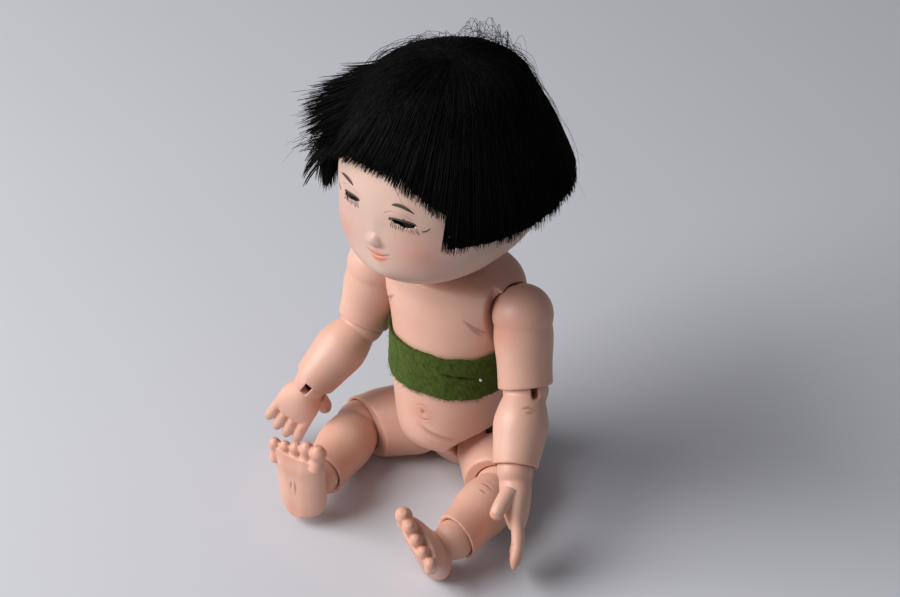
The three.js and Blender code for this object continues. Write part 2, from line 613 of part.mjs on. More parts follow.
// Room for the upper arm to swing: the inner side of the arm, turned round the elastic. The shoulder blade stays.
function armRelief(joint, side) {
  const close = radians(SHOULDER_FOLD.to);
  const inner = [[0, DELTOID], [UPPER_ARM * 0.3, DELTOID], [UPPER_ARM * 0.65, UPPER_ARM_MID],
    [UPPER_ARM, ELBOW_BALL + BALL_GAP + RIM_WALL], [UPPER_ARM + FOREARM, FOREARM_BULGE]];
  const profile = inner.map(([along, radius]) => new THREE.Vector2(
    along * Math.sin(close) + radius * Math.cos(close),
    radius * Math.sin(close) - along * Math.cos(close) + ARM_SPARE,
  ));
  const reach = profile[profile.length - 1].x;
  const outline = [new THREE.Vector2(0, -BIG), new THREE.Vector2(reach, -BIG), ...profile.reverse(),
    new THREE.Vector2(0, DELTOID + ARM_SPARE)];
  const disc = new THREE.LatheGeometry(outline, 2 * LIMB_SIDES).rotateX(Math.PI / 2);
  const blade = new THREE.BoxGeometry(BIG, BIG, BIG)
    .translate(side * (CHEST_HALF_WIDTH + SHOULDER_OUTSET), -SHOULDER_FORWARD - BLADE_FORWARD + BIG / 2, SHOULDER_HEIGHT + BIG / 2);
  return cut(placed(disc, joint.matrix), solid(blade));
}

// Room for the thigh to swing between sitting and standing: a wedge that is open on the outer side.
function hipRelief(joint, side) {
  const half = HIP_BALL + BALL_GAP + HIP_SPARE;
  const reach = BIG / 2;
  const widen = 1 + (reach * Math.tan(radians(HIP_WEDGE))) / half;
  const shape = new THREE.Shape();
  const point = (degrees, along, across) => {
    const angle = radians(degrees);
    return [along * Math.sin(angle) - across * Math.cos(angle), -along * Math.cos(angle) - across * Math.sin(angle)];
  };
  const from = joint.rest + joint.from;
  const to = joint.rest + joint.to;
  shape.moveTo(...point(from, 0, half));
  shape.lineTo(...point(from, reach, half));
  shape.lineTo(...point((from + to) / 2, reach * 1.3, 0));
  shape.lineTo(...point(to, reach, -half));
  shape.lineTo(...point(to, 0, -half));
  const block = new THREE.ExtrudeGeometry(shape, { depth: 1, bevelEnabled: false });
  const place = block.getAttribute("position");
  for (let index = 0; index < place.count; index++) {
    const away = Math.hypot(place.getX(index), place.getY(index)) > reach / 2;
    const inner = half * (away ? widen : 1);
    place.setZ(index, side * (place.getZ(index) > 0.5 ? inner : -BIG));
  }
  if (side < 0) {
    block.index ? block.setIndex(Array.from(block.index.array).reverse()) : flip(block);
  }
  return block.applyMatrix4(new THREE.Matrix4().makeBasis(vector(0, 1, 0), vector(0, 0, 1), vector(1, 0, 0)));
}

// Turns a mesh's triangles round after it was mirrored.
function flip(geometry) {
  const place = geometry.getAttribute("position");
  for (let index = 0; index < place.count; index += 3) {
    const second = vector(place.getX(index + 1), place.getY(index + 1), place.getZ(index + 1));
    const third = vector(place.getX(index + 2), place.getY(index + 2), place.getZ(index + 2));
    place.setXYZ(index + 1, third.x, third.y, third.z);
    place.setXYZ(index + 2, second.x, second.y, second.z);
  }
}

function torsoBody(left, right, neck) {
  const sections = torsoSections(0);
  const outer = solid(loft(sections, BODY_SIDES, BODY_RINGS));
  const top = sections.length - 1;
  const inner = sections.map((s) => ({ ...s, a: s.a - TORSO_WALL, b: s.b - TORSO_WALL }));
  inner[0].z += TORSO_WALL;
  inner[top].z -= 2 * TORSO_WALL;
  inner.splice(top - 1, 1);
  let body = cut(outer, solid(loft(inner, LIMB_SIDES, BODY_RINGS)));
  const joints = [neck, left.shoulder, right.shoulder, left.hip, right.hip];
  for (const joint of joints) {
    const cup = placed(sphere(joint.ball + BALL_GAP + CUP_WALL), joint.matrix);
    body = join(body, cup.intersect(outer));
  }
  for (const joint of joints) {
    body = cut(body, placed(cupSphere(joint.ball), joint.matrix), placed(channel(joint.cordLength), joint.matrix));
  }
  for (const [limb, side] of [[left, 1], [right, -1]]) {
    body = cut(body, placed(hipRelief(limb.hip, side), limb.hip.matrix), armRelief(limb.shoulder, side));
  }
  return body;
}

// The body's section at one height.
function sectionAt(sections, height) {
  const sizes = new THREE.CatmullRomCurve3(sections.map((s) => vector(s.a, s.b, s.z)));
  const middles = new THREE.CatmullRomCurve3(sections.map((s) => vector(s.x ?? 0, s.y ?? 0, 0)));
  let low = 0;
  let high = 1;
  for (let step = 0; step < 30; step++) {
    const middle = (low + high) / 2;
    if (sizes.getPoint(middle).z < height) {
      low = middle;
    } else {
      high = middle;
    }
  }
  const size = sizes.getPoint(low);
  return { a: size.x, b: size.y, y: middles.getPoint(low).y };
}

// The pin's place on the felt: Z points out of the felt.
function pinFrame() {
  const { a, b, y } = sectionAt(torsoSections(FELT_GAP + FELT), BAND_BOTTOM + BAND_PIN_RISE);
  const angle = radians(BAND_PIN_TURN);
  const spot = vector(a * Math.sin(angle), y - b * Math.cos(angle), BAND_BOTTOM + BAND_PIN_RISE);
  return frame(vector(Math.sin(angle) / a, -Math.cos(angle) / b, 0), vector(0, 0, 1), spot);
}

function bandBody(left, right) {
  const slab = new THREE.BoxGeometry(BIG, BIG, BAND_WIDTH).translate(0, 0, BAND_BOTTOM + BAND_WIDTH / 2);
  const outside = solid(loft(torsoSections(FELT_GAP + FELT), BODY_SIDES, BODY_RINGS));
  const inside = solid(loft(torsoSections(FELT_GAP), BODY_SIDES, BODY_RINGS));
  const hole = rod(PIN_SHANK_RADIUS + PIECE_GAP, vector(0, 0, -3 * FELT), vector(0, 0, 3 * FELT));
  return cut(outside.subtract(inside).intersect(solid(slab)), placed(hole, pinFrame()),
    armRelief(left.shoulder, 1), armRelief(right.shoulder, -1));
}

// A round head on the felt and the length of shank that is in it.
function bandPinBody() {
  const head = sphere(PIN_HEAD_RADIUS, 8).scale(1, 1, 0.7).translate(0, 0, PIN_HEAD_RADIUS * 0.7 + PIECE_GAP);
  const shank = rod(PIN_SHANK_RADIUS, vector(0, 0, -FELT), vector(0, 0, PIN_HEAD_RADIUS));
  return join(solid(head), solid(shank));
}

// Head: origin at the neck ball, +Z up, face toward -Y

function headSections(grow) {
  const back = -HEAD_FORWARD;
  return [
    { z: JAW_RISE - grow, a: NECK_BALL + NECK_FLARE, b: NECK_BALL + NECK_FLARE, y: -NECK_FLARE },
    { z: JAW_RISE + JAW_EDGE, a: HEAD_HALF_WIDTH * 0.48, b: HEAD_HALF_DEPTH * 0.55, y: -JAW_FORWARD },
    { z: JAW_RISE + JAW_FULL, a: HEAD_HALF_WIDTH * 0.74, b: HEAD_HALF_DEPTH * 0.77, y: -CHEEK_FORWARD },
    { z: HEAD_MIDDLE * 0.7, a: HEAD_HALF_WIDTH * 0.96, b: HEAD_HALF_DEPTH * 0.92, y: back - NAPE_TUCK },
    { z: HEAD_MIDDLE, a: HEAD_HALF_WIDTH, b: HEAD_HALF_DEPTH, y: back },
    { z: HEAD_MIDDLE + (HEAD_TOP - HEAD_MIDDLE) * 0.32, a: HEAD_HALF_WIDTH * 0.975, b: HEAD_HALF_DEPTH * 0.975, y: back },
    { z: HEAD_MIDDLE + (HEAD_TOP - HEAD_MIDDLE) * 0.62, a: HEAD_HALF_WIDTH * 0.83, b: HEAD_HALF_DEPTH * 0.83, y: back },
    { z: HEAD_MIDDLE + (HEAD_TOP - HEAD_MIDDLE) * 0.87, a: HEAD_HALF_WIDTH * 0.53, b: HEAD_HALF_DEPTH * 0.53, y: back },
    { z: HEAD_TOP + grow, a: CROWN_TIP, b: CROWN_TIP, y: back },
  ].map((s) => ({ ...s, a: s.a + grow, b: s.b + grow }));
}

function faceDepth(across) {
  const share = across / HEAD_HALF_WIDTH;
  return -HEAD_FORWARD - HEAD_HALF_DEPTH * Math.sqrt(1 - share * share);
}

function eyeCentre(side) {
  return vector(side * EYE_HALF_SPAN, faceDepth(EYE_HALF_SPAN) + EYE_SETBACK + EYE_RADIUS, EYE_HEIGHT);
}

function above(height) {
  return solid(new THREE.BoxGeometry(BIG, BIG, BIG).translate(0, 0, height + BIG / 2));
}

function below(height) {
  return solid(new THREE.BoxGeometry(BIG, BIG, BIG).translate(0, 0, height - BIG / 2));
}

function skullShell() {
  const outer = solid(loft(headSections(0), BODY_SIDES, BODY_RINGS));
  const inner = headSections(-HEAD_WALL).map((s) => ({ ...s }));
  inner[0].z += NECK_FLARE;
  inner[0].a = NECK_BALL - CROWN_TIP;
  inner[0].b = NECK_BALL - CROWN_TIP;
  inner[inner.length - 1].a = CROWN_TIP / 2;
  inner[inner.length - 1].b = CROWN_TIP / 2;
  return { outer, inner: solid(loft(inner, LIMB_SIDES, BODY_RINGS)) };
}

function headBody(neck, headFrame) {
  const { outer, inner } = skullShell();
  const column = [
    { z: 0, a: NECK_BALL * 0.8, b: NECK_BALL * 0.8 },
    { z: JAW_RISE, a: NECK_BALL * 0.9, b: NECK_BALL * 0.9, y: -1 },
    { z: JAW_RISE + HEAD_WALL, a: NECK_BALL, b: NECK_BALL, y: -NECK_FLARE },
  ];
  const nose = sphere(NOSE_RADIUS, 12).scale(1, 1.1, 1).translate(0, faceDepth(0) + NOSE_RADIUS * 0.35, NOSE_HEIGHT);
  let body = cut(join(outer, solid(loft(column, LIMB_SIDES, 3)), solid(nose)), inner);
  for (const side of [1, -1]) {
    const eye = eyeCentre(side);
    const slit = new THREE.Shape().absellipse(0, 0, EYE_SLIT_HALF_WIDTH, EYE_SLIT_HALF_HEIGHT, 0, 2 * Math.PI);
    const opening = new THREE.ExtrudeGeometry(slit, { depth: EYE_RADIUS * 2, curveSegments: 8, bevelEnabled: false });
    opening.rotateX(Math.PI / 2).translate(eye.x, eye.y, eye.z);
    body = cut(
      body,
      solid(sphere(EYE_RADIUS + PIECE_GAP, 12).translate(eye.x, eye.y, eye.z)),
      solid(opening),
    );
  }
  body = cut(body, above(CAP_CUT));
  const lifted = new THREE.Matrix4().makeRotationX(Math.PI);
  return cut(jointed(body, neck, headFrame, null), hookRoom(lifted));
}

function capBody() {
  const { outer, inner } = skullShell();
  return cut(outer, inner, below(CAP_CUT + PIECE_GAP));
}

function wigBody() {
  const top = HEAD_TOP + HAIR_CROWN;
  const widest = HEAD_HALF_WIDTH + HAIR_FLARE;
  const low = BOB_HEIGHT - HAIR_SPARE;
  const sections = [
    { z: low, share: 1.05 },
    { z: BOB_HEIGHT, share: 1.03 },
    { z: (BOB_HEIGHT + FRINGE_HEIGHT) / 2, share: 0.936 },
    { z: FRINGE_HEIGHT, share: 0.825 },
    { z: FRINGE_HEIGHT + (top - FRINGE_HEIGHT) * 0.4, share: 0.66 },
    { z: FRINGE_HEIGHT + (top - FRINGE_HEIGHT) * 0.7, share: 0.545 },
    { z: FRINGE_HEIGHT + (top - FRINGE_HEIGHT) * 0.91, share: 0.34 },
    { z: top, share: 0.05 },
  ];
  const skin = (less) => loft(
    sections.map(({ z, share }) => {
      const down = (top - z) / (top - low);
      const radius = widest * share - less;
      const x = CROWN_LEFT * (1 - down) - HAIR_SWEEP * down;
      return { z, a: radius + HAIR_SPREAD * down, b: radius, x, y: CROWN_BACK * (1 - down) - HEAD_FORWARD };
    }),
    BODY_SIDES,
    BODY_RINGS,
  );
  const outer = cut(solid(skin(0)), solid(loft(headSections(HAIR_GAP), BODY_SIDES, BODY_RINGS)));
  const hollow = cut(solid(skin(HAIR_DEPTH)), above(FRINGE_HEIGHT));
  const opening = new THREE.BoxGeometry(FRINGE_TO_LEFT + FRINGE_TO_RIGHT, BIG, BIG)
    .translate((FRINGE_TO_LEFT - FRINGE_TO_RIGHT) / 2, -BIG / 2 - HEAD_HALF_DEPTH * 0.3, FRINGE_HEIGHT);
  const underFringe = new THREE.BoxGeometry(BIG, 2 * BIG, BIG)
    .translate(0, 0, -BIG / 2)
    .rotateY(radians(FRINGE_DROP))
    .translate(FRINGE_DROP_FROM, 0, FRINGE_HEIGHT);
  const face = solid(opening).intersect(below(FRINGE_HEIGHT)).intersect(solid(underFringe));
  const trim = new THREE.BoxGeometry(BIG, BIG, BIG)
    .translate(0, 0, -BIG / 2)
    .rotateX(-radians(BOB_SLOPE))
    .rotateY(radians(BOB_TILT))
    .translate(0, 0, BOB_HEIGHT);
  const layer = new THREE.BoxGeometry(BIG, BIG, BIG).translate(-BIG / 2 - FRINGE_TO_RIGHT, 0, FLARE_HEIGHT - BIG / 2);
  const lift = cut(solid(layer), solid(skin(FLARE_DEPTH)));
  return cut(outer, hollow, face, solid(trim), lift);
}

// Assembly

function group(parent, matrix) {
  const made = new THREE.Group();
  made.applyMatrix4(matrix);
  parent.attach(made);
  return made;
}

const doll = new THREE.Group();
const left = limbFrames(1, LEFT_POSE);
const right = limbFrames(-1, RIGHT_POSE);
const neckCentre = vector(0, -NECK_FORWARD, NECK_HEIGHT);
const headMatrix = new THREE.Matrix4()
  .makeRotationFromEuler(new THREE.Euler(0, radians(HEAD_TILT), radians(HEAD_TURN), "ZYX"))
  .setPosition(neckCentre);
const faceForward = vector(0, -1, 0).transformDirection(headMatrix);
const neck = makeJoint({ centre: neckCentre, cord: vector(0, 0, 1), foldToward: faceForward, child: vector(0, 0, 1),
  fold: NECK_FOLD, ball: NECK_BALL, cordLength: RING_DROP + CORD_END - WIRE_RADIUS - PIECE_GAP });

doll.add(mesh("torso", torsoBody(left, right, neck), SKIN));
doll.add(mesh("felt_band", bandBody(left, right), FELT_GREEN));
const bandPin = mesh("band_pin", bandPinBody(), PIN_WHITE);
bandPin.applyMatrix4(pinFrame());
doll.add(bandPin);

const chestRing = new THREE.TorusGeometry(RING_RADIUS, WIRE_RADIUS, 5, 12);
const ringPiece = mesh("chest_ring", solid(chestRing), STEEL);
ringPiece.position.set(0, -NECK_FORWARD, NECK_HEIGHT - RING_DROP);
doll.add(ringPiece);

const neckGroup = group(doll, neck.matrix);
neckGroup.add(mesh("neck_elastic", solid(elastic(neck)), ELASTIC));
const headGroup = group(neckGroup, headMatrix);
headGroup.add(mesh("head", headBody(neck, headMatrix), FACE));
headGroup.add(mesh("head_cap", capBody(), FACE));
const wig = mesh("wig", wigBody(), HAIR);
headGroup.add(wig);
for (const [name, side] of [["left", 1], ["right", -1]]) {
  const eye = mesh(`${name}_eye`, solid(sphere(EYE_RADIUS, 9)), GLASS);
  eye.position.copy(eyeCentre(side));
  headGroup.add(eye);
}
const neckHookGroup = new THREE.Group();
neckHookGroup.rotation.x = Math.PI;
neckHookGroup.add(mesh("neck_hook", hook(), STEEL), mesh("neck_bar", crossPin(), STEEL));
headGroup.add(neckHookGroup);

for (const [name, side, frames] of [["left", 1, left], ["right", -1, right]]) {
  const limb = (inner, joint, cordName, limbName, limbFrame, body) => {
    const jointGroup = group(inner, joint.matrix);
    jointGroup.add(mesh(`${name}_${cordName}_elastic`, solid(elastic(joint)), ELASTIC));
    const limbGroup = group(jointGroup, limbFrame);
    limbGroup.add(mesh(`${name}_${limbName}`, body, SKIN));
    return limbGroup;
  };
  const elbowMore = side > 0 ? LEFT_ELBOW_SLOT : 0;
  const wristMore = side < 0 ? RIGHT_WRIST_SLOT : 0;
  const upperArm = limb(doll, frames.shoulder, "shoulder", "upper_arm", frames.upperArm, upperArmBody(frames));
  const forearm = limb(upperArm, frames.elbow, "elbow", "forearm", frames.forearm, forearmBody(frames, elbowMore));
  const hand = limb(forearm, frames.wrist, "wrist", "hand", frames.hand, handBody(frames, -side, wristMore));
  hand.add(mesh(`${name}_hand_hook`, hook(), STEEL), mesh(`${name}_hand_pin`, crossPin(), STEEL));
  const thigh = limb(doll, frames.hip, "hip", "thigh", frames.thigh, thighBody(frames));
  const shin = limb(thigh, frames.knee, "knee", "shin", frames.shin, shinBody(frames));
  const foot = limb(shin, frames.ankle, "ankle", "foot", frames.foot, footBody(frames, side));
  foot.add(mesh(`${name}_foot_hook`, hook(), STEEL), mesh(`${name}_foot_pin`, crossPin(), STEEL));
}

export default doll;
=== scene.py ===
"""Looks of a seated, elastic-strung, ball-jointed doll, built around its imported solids.

Shapes are worked out in millimetres in each piece's own frame, then set in place in metres.
The doll faces -Y, its left side is +X, and it sits on the floor at Z = 0.
"""

import json
import logging
import math
import random
from dataclasses import dataclass, field
from enum import Enum
from typing import Optional, Sequence

import bmesh
import bpy
import numpy as np
from mathutils import Matrix, Vector
from mathutils.bvhtree import BVHTree

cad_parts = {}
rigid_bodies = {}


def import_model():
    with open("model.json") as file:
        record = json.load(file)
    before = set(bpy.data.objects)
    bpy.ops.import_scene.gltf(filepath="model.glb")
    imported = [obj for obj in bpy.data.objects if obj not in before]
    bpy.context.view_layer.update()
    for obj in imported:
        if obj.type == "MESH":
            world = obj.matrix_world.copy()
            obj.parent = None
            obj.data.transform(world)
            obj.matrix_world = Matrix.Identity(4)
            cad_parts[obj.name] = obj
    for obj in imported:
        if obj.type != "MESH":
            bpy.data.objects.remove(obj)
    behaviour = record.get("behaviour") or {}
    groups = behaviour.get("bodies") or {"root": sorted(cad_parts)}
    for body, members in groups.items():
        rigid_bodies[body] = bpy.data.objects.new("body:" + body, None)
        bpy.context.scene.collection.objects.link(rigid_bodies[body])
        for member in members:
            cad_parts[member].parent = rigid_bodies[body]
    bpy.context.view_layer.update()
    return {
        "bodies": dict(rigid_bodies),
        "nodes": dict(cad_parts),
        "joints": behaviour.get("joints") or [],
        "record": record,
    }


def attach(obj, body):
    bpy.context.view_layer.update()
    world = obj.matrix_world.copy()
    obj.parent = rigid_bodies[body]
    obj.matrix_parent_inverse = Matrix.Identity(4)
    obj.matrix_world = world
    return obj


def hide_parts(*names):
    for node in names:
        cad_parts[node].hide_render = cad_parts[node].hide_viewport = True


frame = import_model()

LOG = logging.getLogger("doll")
FULL_TURN = 2 * math.pi

# One millimetre in metres, and a length in millimetres that reaches past the doll
MM = 0.001
TO_METRES = Matrix.Diagonal((MM, MM, MM, 1.0))
BIG = 200.0

# Short names for types
Pair = tuple[float, float]
Triple = tuple[float, float, float]
Colour = Triple
Pixel = Pair
PixelLine = tuple[Pixel, ...]
Ring = list[Vector]
Hairs = tuple[list[Ring], list[float]]
Joints = dict[str, object]
Body = bmesh.types.BMesh
Mesh = bpy.types.Mesh
Item = bpy.types.Object
Material = bpy.types.Material


class Side(Enum):
    """The doll's own left and right."""

    LEFT = 1
    RIGHT = -1

    @property
    def word(self) -> str:
        """The side's name, as the solids spell it."""
        return self.name.lower()


# The photograph's view


@dataclass(frozen=True)
class PhotoView:
    """The camera that the photograph was taken with, in millimetres and pixels."""

    azimuth: float = 32.0
    elevation: float = 35.0
    focal: float = 2200.0
    scale: float = 2.3
    anchor: Pixel = (458.0, 459.0)
    width: int = 900
    height: int = 597
    sensor: float = 36.0

    def axes(self) -> tuple[Vector, Vector, Vector]:
        """The picture's right and up, and the way back to the camera.

        Returns:
            Three unit vectors in the doll's frame.
        """
        turn, lift = math.radians(self.azimuth), math.radians(self.elevation)
        level = math.cos(lift)
        back = Vector((math.sin(turn) * level, -math.cos(turn) * level, math.sin(lift)))
        right = Vector((math.cos(turn), math.sin(turn), 0.0))
        return right, back.cross(right), back

    def place(self) -> Vector:
        """Where the camera stands.

        Returns:
            The camera's place in millimetres.
        """
        right, up, back = self.axes()
        distance = self.focal / self.scale
        across = (self.anchor[0] - self.width / 2) / self.scale
        down = (self.anchor[1] - self.height / 2) / self.scale
        return back * distance - right * across + up * down

    def ray(self, pixel: Pixel) -> Vector:
        """The direction in which one pixel of the photograph looks.

        Args:
            pixel: A place in the 900 by 597 picture.

        Returns:
            A unit vector in the doll's frame.
        """
        right, up, back = self.axes()
        across = (pixel[0] - self.width / 2) / self.focal
        down = (pixel[1] - self.height / 2) / self.focal
        return (right * across - up * down - back).normalized()

    def add_camera(self) -> None:
        """Makes the camera and gives it to the scene."""
        right, up, back = self.axes()
        data = bpy.data.cameras.new("photo_camera")
        data.sensor_width = self.sensor
        data.lens = self.focal * self.sensor / self.width
        data.clip_start, data.clip_end = 0.05, 20.0
        camera = link(bpy.data.objects.new("photo_camera", data))
        turned = Matrix((right, up, back)).transposed().to_4x4()
        turned.translation = self.place() * MM
        camera.matrix_world = turned
        bpy.context.scene.camera = camera


VIEW = PhotoView()

# Places and lines in the photograph, in its pixels
NAVEL: Pixel = (423, 412)
BELLY_CREASE: PixelLine = ((419, 425.5), (428, 432.5), (438, 437.5), (449, 440.5), (460, 441))
FELT_SLIT: PixelLine = ((440, 374), (452, 377), (464, 378.5), (477, 378.5))
CHEEK: Pixel = (418, 255)
CHIN: Pixel = (383, 270)
MOUTH_LINE: PixelLine = ((366.8, 247.4), (371.5, 251.4), (376.5, 254.4), (383.0, 256.0), (390.6, 255.2))
UPPER_LIP: PixelLine = ((369.5, 247.6), (373.5, 250.3), (378.0, 252.7), (383.5, 254.4), (388.0, 254.6))
LOWER_LIP: PixelLine = ((371.5, 253.2), (376.0, 256.6), (381.8, 258.6), (387.5, 257.6))
LASH_TAIL: PixelLine = ((421.4, 231.9), (424.6, 231.7), (428.0, 230.3), (430.7, 228.4))
BROWS: dict[Side, PixelLine] = {
    Side.LEFT: ((391.8, 204.8), (396.5, 205.2), (402, 207.0), (408, 210.2), (414.4, 214.2)),
    Side.RIGHT: ((353.2, 185.2), (350.2, 181.4), (347.2, 178.0), (344.2, 174.8), (341.4, 172.4)),
}


# Skeleton


@dataclass(frozen=True)
class Aim:
    """A direction: heading turns outward from straight ahead, dip goes down from level."""

    heading: float
    dip: float

    def direction(self, side: Side) -> Vector:
        """The unit vector of this aim on one side of the doll.

        Args:
            side: The doll's left or right.

        Returns:
            The vector in the doll's frame.
        """
        turn, down = math.radians(self.heading), math.radians(self.dip)
        level = math.cos(down)
        return Vector((side.value * level * math.sin(turn), -level * math.cos(turn), -math.sin(down)))


@dataclass(frozen=True)
class LimbPose:
    """How one side's arm and leg lie in the photograph."""

    upper_arm: Aim
    forearm: Aim
    hand: Aim
    thigh: Aim
    shin: Aim
    foot: Aim
    palm: Triple
    toes: Triple
    elbow_fold: Triple
    wrist_fold: Triple
    ankle_fold: Triple


LEFT_POSE = LimbPose(
    Aim(39, 69), Aim(21, 44), Aim(35, 53), Aim(37.5, 7), Aim(2.7, -4.2), Aim(-34, 21),
    palm=(-0.85, -0.5, 0), toes=(0.15, -0.53, 0.83), elbow_fold=(0.82, -0.57, 0),
    wrist_fold=(-1, 0, 0), ankle_fold=(0.56, 0, 0.35),
)
RIGHT_POSE = LimbPose(
    Aim(61, 78), Aim(26, 40), Aim(82, 62), Aim(54.3, 7), Aim(-8, -2), Aim(2, 0),
    palm=(-0.43, 0.7, -0.57), toes=(0, 0, 1), elbow_fold=(0, -1, 0),
    wrist_fold=(0.4, -0.8, 0.4), ankle_fold=(0.06, -0.15, 0.99),
)


def turned_frame(z_axis: Vector, y_hint: Vector, origin: Vector) -> Matrix:
    """A frame whose Z is known and whose Y lies as near as it can to a hint.

    Args:
        z_axis: The frame's Z.
        y_hint: Roughly the frame's Y.
        origin: The frame's origin.

    Returns:
        A 4 by 4 matrix from the frame to the doll.
    """
    z = z_axis.normalized()
    y = (y_hint - z * y_hint.dot(z)).normalized()
    turned = Matrix((y.cross(z), y, z)).transposed().to_4x4()
    turned.translation = origin
    return turned


@dataclass
class BallJoint:
    """A ball in a cup. Z runs up the elastic into the inner piece, and Y is the way it folds."""

    matrix: Matrix
    rest: float
    ball: float
    cord_length: float
    low: float
    high: float

    @classmethod
    def make(cls, centre: Vector, cord: Vector, toward: Vector, child: Vector,
             fold: Pair, ball: float, cord_length: float) -> "BallJoint":
        """Works out a joint's frame and its fold limits.

        Args:
            centre: The ball's centre.
            cord: The way the elastic runs outward.
            toward: The way the joint folds.
            child: The way the outer piece points.
            fold: Fold limits in degrees from the elastic's line.
            ball: The ball's radius.
            cord_length: How long the elastic's channel is.

        Returns:
            The joint.
        """
        matrix = turned_frame(-cord, toward, centre)
        local = matrix.to_3x3().inverted() @ child
        rest = math.degrees(math.atan2(local.y, -local.z))
        return cls(matrix, rest, ball, cord_length, fold[0] - rest, fold[1] - rest)


@dataclass(frozen=True)
class Fits:
    """Clearances and stringing, in millimetres."""

    ball_gap: float = 0.4
    cord_radius: float = 1.2
    cord_clearance: float = 0.35
    rim_back: float = 1.5
    rim_wall: float = 1.4
    slot_spare: float = 6.0


FITS = Fits()


@dataclass(frozen=True)
class Girths:
    """The limbs' radii between their joints."""

    deltoid: float = 12.1
    arm_mid: float = 11.3
    fore_mid: float = 11.2
    thigh_low: float = 14.7
    calf: float = 11.9
    shin_low: float = 10.3


GIRTHS = Girths()


@dataclass
class Skeleton:
    """Where each ball sits and how each limb points, from the doll's sizes and pose."""

    neck_ball: float = 9.0
    shoulder_ball: float = 12.5
    elbow_ball: float = 9.4
    wrist_ball: float = 7.4
    hip_ball: float = 16.0
    knee_ball: float = 11.3
    ankle_ball: float = 8.4
    upper_arm: float = 31.5
    forearm: float = 33.0
    thigh: float = 23.2
    shin: float = 40.0
    shoulder: Triple = (35.0, -7.5, 95.0)
    hip: Triple = (20.5, -3.5, 16.5)
    neck: Triple = (0.0, -3.5, 108.5)
    ring_radius: float = 3.4
    ring_drop: float = 22.5
    head_turn: float = -10.0
    head_tilt: float = -2.0
    shoulder_fold: Pair = (20, 83)
    elbow_fold: Pair = (-5, 75)
    wrist_fold: Pair = (-40, 50)
    hip_fold: Pair = (20, 95)
    knee_fold: Pair = (0, 85)
    ankle_fold: Pair = (-48, 35)
    neck_fold: Pair = (-10, 10)

    def head_matrix(self) -> Matrix:
        """The head's frame: origin at the neck ball, face toward -Y.

        Returns:
            A matrix from the head's frame to the doll's.
        """
        turn = Matrix.Rotation(math.radians(self.head_turn), 4, "Z")
        tilt = Matrix.Rotation(math.radians(self.head_tilt), 4, "Y")
        return Matrix.Translation(self.neck) @ turn @ tilt

    def neck_joint(self) -> BallJoint:
        """The joint between torso and head.

        Returns:
            The joint.
        """
        forward = self.head_matrix().to_3x3() @ Vector((0, -1, 0))
        up = Vector((0, 0, 1))
        neck = Vector(self.neck)
        return BallJoint.make(neck, up, forward, up, self.neck_fold, self.neck_ball, self.ring_drop)

    def limb(self, side: Side, pose: LimbPose) -> Joints:
        """The joints and limb frames of one side.

        Args:
            side: The doll's left or right.
            pose: How that side's limbs lie.

        Returns:
            Joints under shoulder, elbow, wrist, hip, knee and ankle, and frames under the limbs' names.
        """
        mirror = Vector((side.value, 1, 1))
        out = Vector((side.value, 0, 0))
        shoulder = Vector(self.shoulder) * mirror
        hip = Vector(self.hip) * mirror
        upper_arm, forearm = pose.upper_arm.direction(side), pose.forearm.direction(side)
        hand, thigh = pose.hand.direction(side), pose.thigh.direction(side)
        shin, foot = pose.shin.direction(side), pose.foot.direction(side)
        elbow = shoulder + upper_arm * self.upper_arm
        wrist = elbow + forearm * self.forearm
        knee = hip + thigh * self.thigh
        ankle = knee + shin * self.shin
        ring = Vector((side.value * self.ring_radius, self.neck[1], self.neck[2] - self.ring_drop))
        hip_cord = hip - ring
        up = Vector((0, 0, 1))
        make = BallJoint.make
        elbow_fold, wrist_fold, ankle_fold = (
            Vector(way) for way in (pose.elbow_fold, pose.wrist_fold, pose.ankle_fold))
        return {
            "shoulder": make(shoulder, out, upper_arm, upper_arm,
                             self.shoulder_fold, self.shoulder_ball, abs(shoulder.x)),
            "elbow": make(elbow, upper_arm, elbow_fold, forearm,
                          self.elbow_fold, self.elbow_ball, self.upper_arm),
            "wrist": make(wrist, forearm, wrist_fold, hand, self.wrist_fold, self.wrist_ball, self.forearm),
            "hip": make(hip, hip_cord, thigh, thigh, self.hip_fold, self.hip_ball, hip_cord.length),
            "knee": make(knee, thigh, shin, shin, self.knee_fold, self.knee_ball, self.thigh),
            "ankle": make(ankle, shin, ankle_fold, foot, self.ankle_fold, self.ankle_ball, self.shin),
            "upper_arm": turned_frame(-upper_arm, out, shoulder),
            "forearm": turned_frame(-forearm, elbow_fold, elbow),
            "hand": turned_frame(-hand, Vector(pose.palm), wrist),
            "thigh": turned_frame(-thigh, up, hip),
            "shin": turned_frame(-shin, up, knee),
            "foot": turned_frame(-foot, Vector(pose.toes), ankle),
        }


# Mesh making


@dataclass(frozen=True)
class Section:
    """An elliptical section of a body, at one height."""

    z: float
    a: float
    b: float
    x: float = 0.0
    y: float = 0.0


